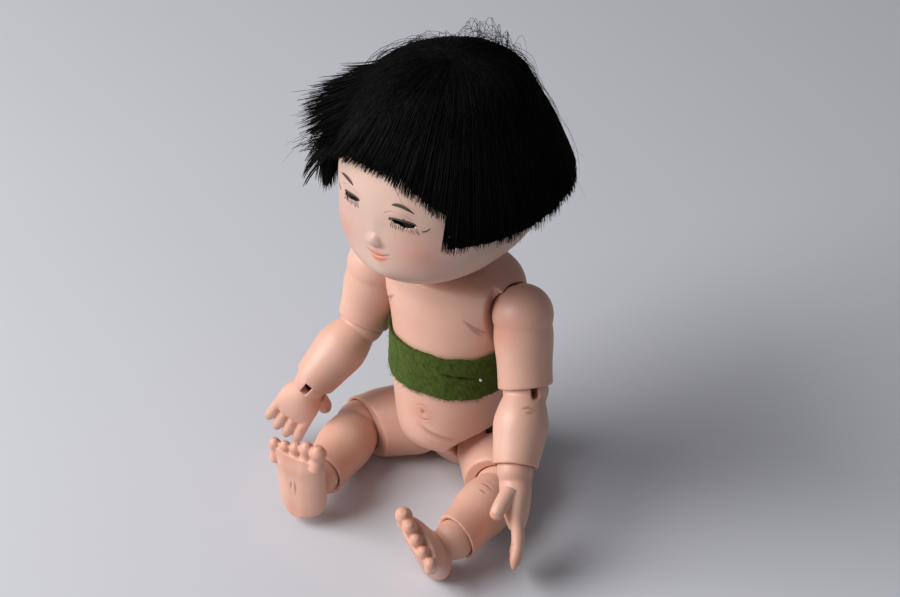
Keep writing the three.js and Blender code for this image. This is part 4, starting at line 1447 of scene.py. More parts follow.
SKIN_LAYERS = ("blush", "fold")
NAIL_ARC: Pair = (-25, 205)
NAVEL_FOLDS = (
    Fold(((416.5, 403.8), (422, 404.8), (428, 408.2)), Groove(0.36, 0.28, 0.3)),
    Fold(((417.5, 407.6), (422, 408.2), (427.5, 411.2)), Groove(0.32, 0.22, 0.25)),
    Fold(((421, 417.6), (425, 419.6), (430.5, 420)), Groove(0.36, 0.28, 0.3)),
)
PAIRED_FOLDS = (
    Fold(((464, 321), (472, 327), (480, 331), (487, 333)), Groove(0.55, 0.6, 0.5)),
    Fold(((469, 327), (476, 332), (484, 336)), Groove(0.5, 0.5, 0.45)),
    Fold(((469, 445), (474, 449), (479, 455)), Groove(0.55, 0.5, 0.5)),
)
ELBOW_FOLDS = (
    Fold(((522, 409), (529, 408), (538, 411)), Groove(0.5, 0.45)),
    Fold(((526, 413), (534, 413)), Groove(0.45, 0.35)),
)
KNEE_FOLDS = (
    Fold(((482, 483), (487, 485), (492, 490)), Groove(0.5, 0.4)),
    Fold(((480, 489), (486, 493)), Groove(0.5, 0.35)),
)
ARM_BLUSH = {
    Side.LEFT: Blush((503, 332), Soft(7.0, 0.5)),
    Side.RIGHT: Blush((372, 330), Soft(6.0, 0.35)),
}

# How much longer, in degrees, the slots that show in the photograph are
ELBOW_SLOT_MORE = {Side.LEFT: 30.0, Side.RIGHT: 0.0}
WRIST_SLOT_MORE = {Side.LEFT: 0.0, Side.RIGHT: 45.0}


def skin_piece(name: str, surface: Surface, material: Material) -> None:
    """Sets a body's painted skin in the place of its solid."""
    piece(f"{name}_skin", surface.settle(SKIN_LAYERS), material, name, [name])


@dataclass
class Limb:
    """An arm's or a leg's segment: a slotted ball at its top and a cup at its lower end."""

    name: str
    matrix: Matrix
    own: BallJoint
    onward: BallJoint
    stations: Sequence[Pair]
    slot_more: float = 0.0
    folds: Sequence[Fold] = ()
    blushes: Sequence[Blush] = ()
    rim_reach: float = 1.25
    rim_blush: float = 0.32
    top_reach: float = 0.9
    top_blush: float = 0.3
    voxel: float = 0.5

    def build(self) -> Surface:
        """Makes the segment's skin.

        Returns:
            The skin, ready to be dressed.
        """
        sections = [Section(-along, radius, radius) for along, radius in reversed(self.stations)]
        back = self.matrix.inverted()
        own, onward = back @ self.own.matrix, back @ self.onward.matrix
        tilt = Matrix.Rotation(math.radians(self.onward.rest / 2), 4, "X")
        beyond = onward @ tilt @ Matrix.Translation((0, 0, FITS.rim_back - BIG / 2))
        cuts = [
            moved(slot_fan(self.own, self.slot_more), own),
            vast(beyond),
            cup(self.onward, onward),
            channel(self.onward, onward),
        ]
        return Surface(carve(loft(sections), [ball(self.own.ball)], cuts, self.voxel), self.matrix)

    def dress(self, surface: Surface, material: Material) -> None:
        """Folds, blushes and paints the segment.

        Args:
            surface: The segment's skin.
            material: The flesh paint.
        """
        for fold in self.folds:
            surface.groove(surface.line(fold.pixels), fold.how)
        for blush in self.blushes:
            spot = surface.seen(blush.pixel)
            if spot is not None:
                surface.paint("blush", spot, blush.place)
        end = self.matrix.inverted() @ self.onward.matrix.translation
        surface.paint("blush", end, Soft(self.onward.ball * self.rim_reach, self.rim_blush))
        surface.paint("blush", Vector(), Soft(self.own.ball * self.top_reach, self.top_blush))
        skin_piece(self.name, surface, material)


@dataclass
class Hand:
    """A small open hand. It points down -Z with its palm toward +Y."""

    side: Side
    matrix: Matrix
    own: BallJoint
    slot_more: float = 0.0
    palm_length: float = 22.0
    palm_half_width: float = 9.3
    palm_half_depth: float = 5.7
    finger_length: float = 16.5
    finger_radius: float = 2.6
    thumb_length: float = 11.0
    thumb_radius: float = 3.2
    thumb_forward: float = 3.0
    finger_shares: tuple[float, ...] = (0.92, 1.0, 0.96, 0.8)
    finger_taper: tuple[float, ...] = (1.02, 1.0, 0.95, 0.84, 0.3)
    thumb_taper: tuple[float, ...] = (1.15, 1.05, 0.98, 0.82, 0.3)
    joint_shares: Pair = (0.42, 0.68)
    joint_arc: Pair = (20, 160)
    joint_line: Groove = Groove(0.28, 0.16, 0.3)
    nail_half: Pair = (1.05, 1.5)
    nail: Groove = Groove(0.22, 0.16, 0.22)
    thumb_nail_half: Pair = (1.25, 1.7)
    thumb_nail: Groove = Groove(0.24, 0.18, 0.25)
    palm_lines: tuple[Pair, ...] = ((0.52, 0.72), (0.36, 0.6))
    palm_line: Groove = Groove(0.35, 0.3, 0.4)
    knuckle: Soft = Soft(1.6, 0.25)
    knuckle_blush: Soft = Soft(2.2, 0.35)
    tip_blush: Soft = Soft(3.4, 0.4)
    thumb_blush: Soft = Soft(3.4, 0.35)
    wrist_blush: float = 0.35
    voxel: float = 0.32

    def finger_path(self, index: int) -> list[Vector]:
        """The line of one finger from its root to its tip.

        Args:
            index: Which finger, counted from the thumb.

        Returns:
            The line's points.
        """
        across = -self.side.value * self.palm_half_width * (0.74 - index * 0.49)
        reach = self.finger_length * self.finger_shares[index]
        return [
            Vector((across * 0.97, 0.2, -self.palm_length + 4.5)),
            Vector((across * 1.03, -0.3, -self.palm_length - reach * 0.22)),
            Vector((across * 1.09, 0.0, -self.palm_length - reach * 0.58)),
            Vector((across * 1.14, 1.2, -self.palm_length - reach * 0.88)),
            Vector((across * 1.16, 2.0, -self.palm_length - reach - 1.0)),
        ]

    def thumb_path(self) -> list[Vector]:
        """The line of the thumb from its root to its tip.

        Returns:
            The line's points.
        """
        inward = -self.side.value
        root = Vector((inward * self.palm_half_width * 0.62, self.thumb_forward, -self.palm_length * 0.42))
        run = Vector((inward * 0.42, 0.5, -0.76)) * self.thumb_length
        bow = Vector((inward * 0.9, 0.2, 0.0))
        middle = [root + run * 0.3 + bow, root + run * 0.65 + bow]
        return [root - run * 0.1, *middle, root + run, root + run * 1.12]

    def build(self) -> Surface:
        """Makes the hand's skin.

        Returns:
            The skin, ready to be dressed.
        """
        wide, deep, long = self.palm_half_width, self.palm_half_depth, self.palm_length
        size = self.own.ball
        palm = loft([
            Section(-long - 1.5, wide * 0.9, deep * 0.55), Section(-long * 0.85, wide, deep * 0.85),
            Section(-long * 0.5, wide * 0.95, deep * 1.1), Section(-long * 0.25, size * 0.92, deep * 1.15),
            Section(-1, size * 0.8, deep * 1.1),
        ])
        face = Vector((0, 1, 0))
        fingers = [(self.finger_radius * s, self.finger_radius * s) for s in self.finger_taper]
        thumb = [(self.thumb_radius * s, self.thumb_radius * s) for s in self.thumb_taper]
        joins = [ball(size)]
        joins += [tube(self.finger_path(index), fingers, face) for index in range(len(self.finger_shares))]
        joins.append(tube(self.thumb_path(), thumb, face))
        own = self.matrix.inverted() @ self.own.matrix
        cuts = [moved(slot_fan(self.own, self.slot_more), own), *hook_room()]
        return Surface(carve(palm, joins, cuts, self.voxel, 5), self.matrix)

    def dress(self, surface: Surface, material: Material) -> None:
        """Gives the hand its knuckles, nails, palm lines and paint.

        Args:
            surface: The hand's skin.
            material: The flesh paint.
        """
        back = Vector((0, -1, 0))
        thick = self.finger_radius
        wide, high = self.nail_half
        for index in range(len(self.finger_shares)):
            path = self.finger_path(index)
            surface.swell(path[1] + back * thick, self.knuckle)
            surface.paint("blush", path[1] + back * thick, self.knuckle_blush)
            surface.paint("blush", path[3], self.tip_blush)
            for share in self.joint_shares:
                middle = Vector(spline(path, share))
                rounding = arc(middle, Vector((thick, 0, 0)), Vector((0, thick, 0)), self.joint_arc)
                surface.groove(rounding, self.joint_line)
            nail = path[3] + back * (thick * 0.8)
            surface.groove(arc(nail, Vector((wide, 0, 0)), Vector((0, 0, high)), NAIL_ARC), self.nail)
        thumb = self.thumb_path()
        out = Vector((-self.side.value * 0.8, -0.6, 0)).normalized()
        flat = Vector((0, 0, 1)).cross(out).normalized()
        wide, high = self.thumb_nail_half
        nail = thumb[3] + out * (self.thumb_radius * 0.78)
        surface.groove(arc(nail, flat * wide, Vector((0, 0, high)), NAIL_ARC), self.thumb_nail)
        surface.paint("blush", thumb[3], self.thumb_blush)
        across, deep = self.side.value * self.palm_half_width * 0.75, self.palm_half_depth * 0.8
        for low, high in self.palm_lines:
            line = []
            for t in (0, 0.25, 0.5, 0.75, 1):
                down = self.palm_length * (low + (high - low) * t ** 1.5)
                line.append(Vector((across * (1 - 2 * t), deep, -down)))
            surface.groove(line, self.palm_line)
        surface.paint("blush", Vector(), Soft(self.own.ball, self.wrist_blush))
        skin_piece(f"{self.side.word}_hand", surface, material)


@dataclass
class Foot:
    """A plump foot. Its toes point to +Y and its sole is toward -Z."""

    side: Side
    matrix: Matrix
    own: BallJoint
    sole_drop: float = 17.2
    heel_back: float = 10.0
    front: float = 22.0
    half_width: float = 12.4
    toe_length: float = 5.5
    toe_radius: float = 2.75
    big_toe_more: float = -2.5
    toe_shares: tuple[float, ...] = (1.3, 1.12, 0.98, 0.92, 0.95)
    toe_taper: tuple[Pair, ...] = ((0.9, 0.9), (0.92, 0.92), (0.86, 0.84), (1.08, 1.0), (0.45, 0.4))
    nail: Groove = Groove(0.24, 0.2, 0.28)
    sole_lines: tuple[Triple, ...] = ((-1.2, 0.12, 0.42), (1.0, 0.2, 0.4))
    sole_line: Groove = Groove(0.5, 0.35, 0.25)
    toe_pad: Soft = Soft(3.2, 0.35)
    toe_reach: float = 1.3
    toe_blush: float = 0.4
    heel_blush: Soft = Soft(7.0, 0.4)
    ball_blush: Soft = Soft(8.0, 0.3)
    ankle_blush: float = 0.3
    voxel: float = 0.38

    def toe_line(self, toe: int) -> tuple[Vector, Vector, float]:
        """A toe's root, its tip and its radius.

        Args:
            toe: Which toe, counted from the big one.

        Returns:
            Both ends, and the radius.
        """
        share = self.toe_shares[toe]
        across = self.side.value * self.half_width * (0.82 - toe * 0.42)
        radius = self.toe_radius * share
        low = -self.sole_drop + radius * 0.95
        more = self.big_toe_more if toe == 0 else 0.0
        root = Vector((across, self.front - 2 - toe * 0.9, low))
        tip = Vector((across * 1.04, self.front + self.toe_length * share + more - toe * 1.1, low + 0.6))
        return root, tip, radius

    def build(self) -> Surface:
        """Makes the foot's skin.

        Returns:
            The skin, ready to be dressed.
        """
        long, deep, heel = self.front, self.sole_drop, self.heel_back
        shape = [
            (-heel, 0.42, 0.5), (-heel * 0.88, 0.64, 0.4), (-heel * 0.62, 0.82, 0.32), (0.0, 0.92, 0.24),
            (long * 0.45, 0.96, 0.33), (long * 0.8, 1.03, 0.42), (long, 0.99, 0.55),
        ]
        sections = []
        for along, wide, top in shape:
            half, middle = (deep - top * deep) / 2 + 0.15, -(deep + top * deep) / 2 - 0.15
            sections.append(Section(along, self.half_width * wide, half, 0.0, middle))
        lay = Matrix(((-1, 0, 0, 0), (0, 0, 1, 0), (0, 1, 0, 0), (0, 0, 0, 1)))
        base = moved(loft(sections), lay)
        bmesh.ops.recalc_face_normals(base, faces=base.faces)
        joins = [ball(self.own.ball)]
        for toe in range(len(self.toe_shares)):
            root, tip, radius = self.toe_line(toe)
            run = tip - root
            path = [root - run * 0.3, root, root + run * 0.5 + Vector((0, 0, 0.3)), tip - run * 0.05,
                    tip + run.normalized() * radius * 0.85]
            sizes = [(radius * wide, radius * high) for wide, high in self.toe_taper]
            joins.append(tube(path, sizes, Vector((0, 0, 1))))
        floor = vast(Matrix.Translation((0, 0, -deep - BIG / 2)))
        own = self.matrix.inverted() @ self.own.matrix
        cuts = [floor, moved(slot_fan(self.own), own), *hook_room()]
        return Surface(carve(base, joins, cuts, self.voxel, 9), self.matrix)

    def dress(self, surface: Surface, material: Material) -> None:
        """Gives the foot its toenails, sole folds and paint.

        Args:
            surface: The foot's skin.
            material: The flesh paint.
        """
        for toe in range(len(self.toe_shares)):
            root, tip, radius = self.toe_line(toe)
            nail = tip + Vector((0, -0.1 * radius, radius * 0.85))
            half = radius * 0.52
            edge = arc(nail, Vector((half, 0, 0)), Vector((0, -half * 1.1, 0)), NAIL_ARC)
            surface.groove(edge, self.nail)
            surface.paint("blush", tip, Soft(radius * self.toe_reach, self.toe_blush))
            surface.swell(Vector((root.x, root.y - 3.0, -self.sole_drop)), self.toe_pad)
        surface.paint("blush", Vector((0, -self.heel_back * 0.7, -self.sole_drop)), self.heel_blush)
        surface.paint("blush", Vector((0, self.front * 0.85, -self.sole_drop)), self.ball_blush)
        for across, start, end in self.sole_lines:
            shares = [start + (end - start) * t for t in (0.0, 0.5, 1.0)]
            line = [Vector((across, self.front * share, -self.sole_drop)) for share in shares]
            surface.groove(line, self.sole_line)
        surface.paint("blush", Vector(), Soft(self.own.ball, self.ankle_blush))
        skin_piece(f"{self.side.word}_foot", surface, material)


# Torso and its felt band


@dataclass
class Torso:
    """The hollow trunk: pelvis, round belly, chest, and cups for five balls."""

    skeleton: Skeleton
    joints: dict[Side, Joints]
    seat: Triple = (19.0, 11.5, 8.0)
    pelvis: Triple = (18.0, 34.0, 27.5)
    waist: Triple = (45.0, 27.0, 25.5)
    chest_half_width: float = 27.5
    chest_half_depth: float = 20.5
    shoulder_height: float = 95.0
    lean: float = 6.0
    forward: float = 1.0
    arm_spare: float = 0.6
    blade_forward: float = 4.0
    hip_spare: float = 0.6
    hip_turns: Pair = (-30.0, 4.0)
    hip_turn_steps: int = 4
    hip_fold_steps: int = 8
    slim_heights: tuple[float, ...] = (0.0, 8.0, 18.0, 31.0, 45.0, 54.0)
    slim_shares: tuple[float, ...] = (0.85, 0.66, 0.69, 0.77, 0.94, 1.0)
    slim_from: float = 8.0
    slim_blend: float = 11.0
    thigh_room: float = 14.6
    ring_room: float = 10.0
    fine_place: Triple = (-3.0, -30.0, 33.0)
    fine_reach: float = 12.0
    navel_rise: Soft = Soft(3.6, 0.25)
    navel_dent: Soft = Soft(0.8, -0.9)
    navel_stain: Soft = Soft(0.75, 0.8)
    navel_blush: Soft = Soft(5.0, 0.4)
    belly_groove: Groove = Groove(1.0, 0.6, 0.35, 0.5)
    spine_groove: Groove = Groove(2.4, 0.9, 0.15, 0.1)
    spine_heights: tuple[float, ...] = (8, 20, 40, 60, 80, 96)
    seat_groove: Groove = Groove(1.3, 1.6, 0.5, 0.5)
    seat_heights: tuple[float, ...] = (1, 5, 10, 15, 20)
    voxel: float = 0.6

    def sections(self) -> list[Section]:
        """The trunk's sections from the seat to the collar.

        Returns:
            The sections, from the bottom up.
        """
        low, wide, deep = self.pelvis
        waist, narrow, thick = self.waist
        seat_wide, seat_deep, seat_back = self.seat
        chest, chest_deep, high = self.chest_half_width, self.chest_half_depth, self.shoulder_height
        collar = self.skeleton.neck_ball + FITS.ball_gap + 7.0
        top = self.skeleton.neck[2] - 0.5
        listed = [
            (0.0, seat_wide, seat_deep, seat_back),
            (low * 0.25, wide * 0.85, deep * 0.52, seat_back * 0.92),
            (low * 0.6, wide * 0.97, deep * 0.64, seat_back * 0.8),
            (low, wide, deep * 0.78, seat_back * 0.55),
            (low * 0.7 + waist * 0.3, (wide + narrow) / 2, deep * 0.94, None),
            ((low + waist) / 2, narrow + 2.5, deep, None), (waist, narrow, thick, None),
            (high - 24, chest - 2, chest_deep + 1, None), (high - 8, chest, chest_deep - 0.5, None),
            (high + 4, chest + 5, chest_deep + 1, -4.0), (top - 3, chest + 3, chest_deep + 1, -4.0),
            (top, collar, collar - 1, self.skeleton.neck[1]),
        ]
        made = []
        for z, a, b, y in listed:
            middle = -self.forward - self.lean * z / high if y is None else y
            made.append(Section(z, a, b, 0.0, middle))
        return made

    def arm_relief(self, side: Side) -> Body:
        """Room for the upper arm's swing, with the shoulder blade left standing.

        Args:
            side: The doll's left or right.

        Returns:
            The body to cut away.
        """
        joint: BallJoint = self.joints[side]["shoulder"]
        bones = self.skeleton
        close = math.radians(bones.shoulder_fold[1])
        rim = bones.elbow_ball + FITS.ball_gap + FITS.rim_wall
        arm = bones.upper_arm
        inner = [(0.0, GIRTHS.deltoid), (arm * 0.3, GIRTHS.deltoid), (arm * 0.65, GIRTHS.arm_mid),
                 (arm, rim), (arm + bones.forearm, GIRTHS.fore_mid)]
        profile = []
        for along, radius in inner:
            away = along * math.sin(close) + radius * math.cos(close)
            profile.append((away, radius * math.sin(close) - along * math.cos(close) + self.arm_spare))
        outline = [(profile[-1][0], -BIG), *reversed(profile), (0.01, GIRTHS.deltoid + self.arm_spare)]
        rings = [[Vector((r * c, r * n, z)) for c, n in circle(72)] for r, z in outline]
        disc = moved(skin(rings), joint.matrix)
        shoulder = Vector(bones.shoulder)
        spot = (side.value * shoulder.x, shoulder.y - self.blade_forward + BIG / 2, shoulder.z + BIG / 2)
        return combine(disc, vast(Matrix.Translation(spot)), "DIFFERENCE")

    def hip_relief(self, side: Side) -> Body:
        """Room for the thigh's swing: the thigh itself, a little larger, at many angles.

        Args:
            side: The doll's left or right.

        Returns:
            The body to cut away.
        """
        joint: BallJoint = self.joints[side]["hip"]
        frame: Matrix = self.joints[side]["thigh"]
        bones = self.skeleton
        knee = bones.knee_ball + FITS.ball_gap + FITS.rim_wall
        long, top = bones.thigh, bones.hip_ball
        stations = [(0.0, top), (long * 0.35, top * 0.95), (long * 0.7, self.thigh_room),
                    (long, knee), (long * 2.5, knee)]
        grown = [(along, radius + self.hip_spare) for along, radius in reversed(stations)]
        sections = [Section(-along, radius, radius) for along, radius in grown]
        own = joint.matrix.inverted() @ frame
        swept = []
        for turn in np.linspace(*self.hip_turns, self.hip_turn_steps):
            splay = Matrix.Rotation(math.radians(side.value * turn), 4, "Z")
            for fold in np.linspace(joint.low, joint.high, self.hip_fold_steps):
                swing = splay @ Matrix.Rotation(math.radians(fold), 4, "X")
                swept.append(moved(loft(sections, 36, 12), joint.matrix @ swing @ own))
        return merge(swept)

    def trunk(self) -> Body:
        """The trunk before it is cut, with its belly drawn in beside the hip cups.

        Returns:
            The trunk.
        """
        body = loft(self.sections(), 72, 60)
        for vert in body.verts:
            share = float(np.interp(vert.co.z, self.slim_heights, self.slim_shares))
            ahead = min(1.0, max(0.0, (self.slim_from - vert.co.y) / self.slim_blend))
            vert.co.x *= 1 + (share - 1) * ahead * ahead * (3 - 2 * ahead)
        return body

    def build(self) -> Surface:
        """Makes the trunk's skin.

        Returns:
            The skin, ready to be dressed.
        """
        neck = self.skeleton.neck_joint()
        joints = [neck]
        for side in Side:
            joints += [self.joints[side]["shoulder"], self.joints[side]["hip"]]
        cuts = [self.hip_relief(side) for side in Side]
        for joint in joints:
            cuts += [cup(joint, joint.matrix), channel(joint, joint.matrix)]
        ring = Vector(self.skeleton.neck) - Vector((0, 0, self.skeleton.ring_drop))
        cuts.append(ball(self.ring_room, Matrix.Translation(ring)))
        cuts += [self.arm_relief(side) for side in Side]
        trunk = carve(self.trunk(), [], cuts, self.voxel, 6)
        return Surface(refine(trunk, [(Vector(self.fine_place), self.fine_reach)]), Matrix())

    def down_back(self, surface: Surface, behind: float, heights: Sequence[float]) -> list[Vector]:
        """Points of the trunk's middle line at some heights, found from behind it."""
        found = [surface.tree.ray_cast(Vector((0, behind, z)), Vector((0, -1, 0)))[0] for z in heights]
        return [p for p in found if p is not None]

    def dress(self, surface: Surface, material: Material) -> None:
        """Gives the trunk its navel, folds and paint.

        Args:
            surface: The trunk's skin.
            material: The flesh paint.
        """
        navel = surface.seen(NAVEL)
        if navel is not None:
            surface.swell(navel, self.navel_rise)
            surface.swell(navel, self.navel_dent)
            # Painted shade in the navel's hollow.
            surface.paint("fold", navel, self.navel_stain)
            surface.paint("blush", navel, self.navel_blush)
        for fold in NAVEL_FOLDS:
            surface.groove(surface.line(fold.pixels), fold.how)
        for fold in PAIRED_FOLDS:
            line = surface.line(fold.pixels)
            surface.groove(line, fold.how)
            surface.groove([Vector((-p.x, p.y, p.z)) for p in line], fold.how)
        surface.groove(surface.line(BELLY_CREASE), self.belly_groove)
        surface.groove(self.down_back(surface, 40, self.spine_heights), self.spine_groove)
        surface.groove(self.down_back(surface, 60, self.seat_heights), self.seat_groove)
        for side in Side:
            for key, reach, amount in (("hip", 1.15, 0.35), ("shoulder", 1.2, 0.3)):
                joint: BallJoint = self.joints[side][key]
                surface.paint("blush", joint.matrix.translation, Soft(joint.ball * reach, amount))
        skin_piece("torso", surface, material)


@dataclass
class FeltBand:
    """A strip of green felt stretched round the chest, slit in front and held by a pin."""

    torso: Torso
    bottom: float = 55.0
    width: float = 19.5
    thick: float = 1.2
    gap: float = 0.35
    pin_rise: float = 9.5
    pin_turn: float = 55.0
    pin_head: float = 0.62
    pin_shank: float = 0.45
    around: int = 220
    upward: int = 22
    slit: Groove = Groove(0.42, 0.95, 1.0, 0.35)
    fibre_count: int = 1700
    fibre_seed: int = 4
    fibre_edge_share: float = 0.6
    fibre_long: Pair = (0.7, 1.9)
    fibre_thick: Pair = (0.035, 0.06)
    under_arm: Pair = (1.15, 2.0)
    wave_seed: int = 7
    wave_count: int = 26
    wave_height: float = 0.028
    kept: dict[float, Section] = field(default_factory=dict)

    def point(self, angle: float, share: float, lift: float) -> Vector:
        """A place on the band.

        Args:
            angle: Round the body, in radians from straight ahead.
            share: From the lower edge to the upper, 0 to 1.
            lift: Height above the skin.

        Returns:
            The place.
        """
        low = self.bottom + 0.35 * math.sin(5 * angle + 1) + 0.2 * math.sin(13 * angle)
        high = self.bottom + self.width + 0.3 * math.sin(4 * angle + 2) + 0.2 * math.sin(11 * angle + 1)
        z = low + (high - low) * share
        s = self.known(z)
        return Vector(((s.a + lift) * math.sin(angle), s.y - (s.b + lift) * math.cos(angle), z))

    def known(self, z: float) -> Section:
        """The trunk's section at a height, looked up and kept.

        Args:
            z: The height.

        Returns:
            The section.
        """
        key = round(z, 1)
        if key not in self.kept:
            self.kept[key] = section_at_height(self.torso.sections(), key)
        return self.kept[key]

    def build(self) -> Surface:
        """Makes the band's skin.

        Returns:
            The skin, ready to be dressed.
        """
        rings = []
        shares = [k / self.upward for k in range(self.upward + 1)]
        for step in range(self.around):
            angle = FULL_TURN * step / self.around
            outer = [self.point(angle, s, self.gap + self.thick) for s in shares]
            inner = [self.point(angle, s, self.gap) for s in reversed(shares)]
            rings.append(outer + inner)
        cuts = [self.torso.arm_relief(side) for side in Side]
        return Surface(carve(skin(rings, closed=True), [], cuts, 0.45, 2), Matrix())

    def fibres(self) -> Mesh:
        """Loose wool along the edges and over the felt.

        Returns:
            The fibres as one mesh, in millimetres.
        """
        dice = random.Random(self.fibre_seed)
        paths, thick = [], []
        for _ in range(self.fibre_count):
            angle = dice.uniform(0, FULL_TURN)
            if self.under_arm[0] < min(angle, FULL_TURN - angle) < self.under_arm[1]:
                continue
            edge = dice.random() < self.fibre_edge_share
            share = dice.choice((0.0, 1.0)) if edge else dice.random()
            start = self.point(angle, share, self.gap + self.thick * dice.uniform(0.3, 0.95))
            out = Vector((math.sin(angle), -math.cos(angle), 0))
            around = Vector((math.cos(angle), math.sin(angle), 0))
            rise = Vector((0, 0, (1 if share > 0.5 else -1) if edge else dice.uniform(-1, 1)))
            way = rise * dice.uniform(0.2, 1.0) + around * dice.uniform(-1.2, 1.2)
            way = (way + out * dice.uniform(0.05, 0.6)).normalized()
            bend = (around * dice.uniform(-1, 1) + out * dice.uniform(-0.4, 0.3)).normalized()
            long = dice.uniform(*self.fibre_long)
            shares = (0, 0.35, 0.7, 1.0)
            paths.append([start + way * long * t + bend * (0.5 * long * t * t) for t in shares])
            thick.append(dice.uniform(*self.fibre_thick))
        return strands(paths, thick, 0.6)

    def dress(self, surface: Surface, material: Material, pin: Material) -> None:
        """Slits, roughens and pins the felt.

        Args:
            surface: The band's skin.
            material: The felt.
            pin: The pin's enamel.
        """
        dice = np.random.default_rng(self.wave_seed)
        wave = np.zeros(len(surface.points))
        for _ in range(self.wave_count):
            way = dice.normal(size=3) * dice.uniform(0.5, 2.4)
            wave += np.sin(surface.points @ way + dice.uniform(0, 6.28))
        surface.points += surface.normals * (self.wave_height * wave)[:, None]
        # The slit's groove paints dark shade into the cut.
        surface.groove(surface.line(FELT_SLIT), self.slit)
        band = piece("felt_strip", surface.settle(("fold",)), material, "torso", ["felt_band"])
        fuzz = self.fibres()
        fuzz.transform(TO_METRES)
        piece("felt_fibres", fuzz, material, "torso")
        around = self.cut_length()
        angle = math.radians(self.pin_turn)
        spot = self.point(angle, self.pin_rise / self.width, self.gap + self.thick)
        s = self.known(self.bottom + self.pin_rise)
        out = Vector((math.sin(angle) / s.a, -math.cos(angle) / s.b, 0))
        place = turned_frame(out, Vector((0, 0, 1)), spot)
        flat = Matrix.Translation((0, 0, self.pin_head * 0.7 + 0.35)) @ Matrix.Diagonal((1, 1, 0.7, 1))
        shank = rod(self.pin_shank, Vector((0, 0, -self.thick)), Vector((0, 0, self.pin_head)))
        head = Surface(carve(ball(self.pin_head, flat, 24), [shank], [], 0.12, 3), place)
        piece("band_pin_bead", head.settle(()), pin, "torso", ["band_pin"])

    def cut_length(self) -> float:
        """The strip's length along its middle line."""
        middle = [self.point(FULL_TURN * k / 360, 0.5, self.gap + self.thick / 2) for k in range(361)]
        return sum((b - a).length for a, b in zip(middle, middle[1:]))


# Head, face and wig


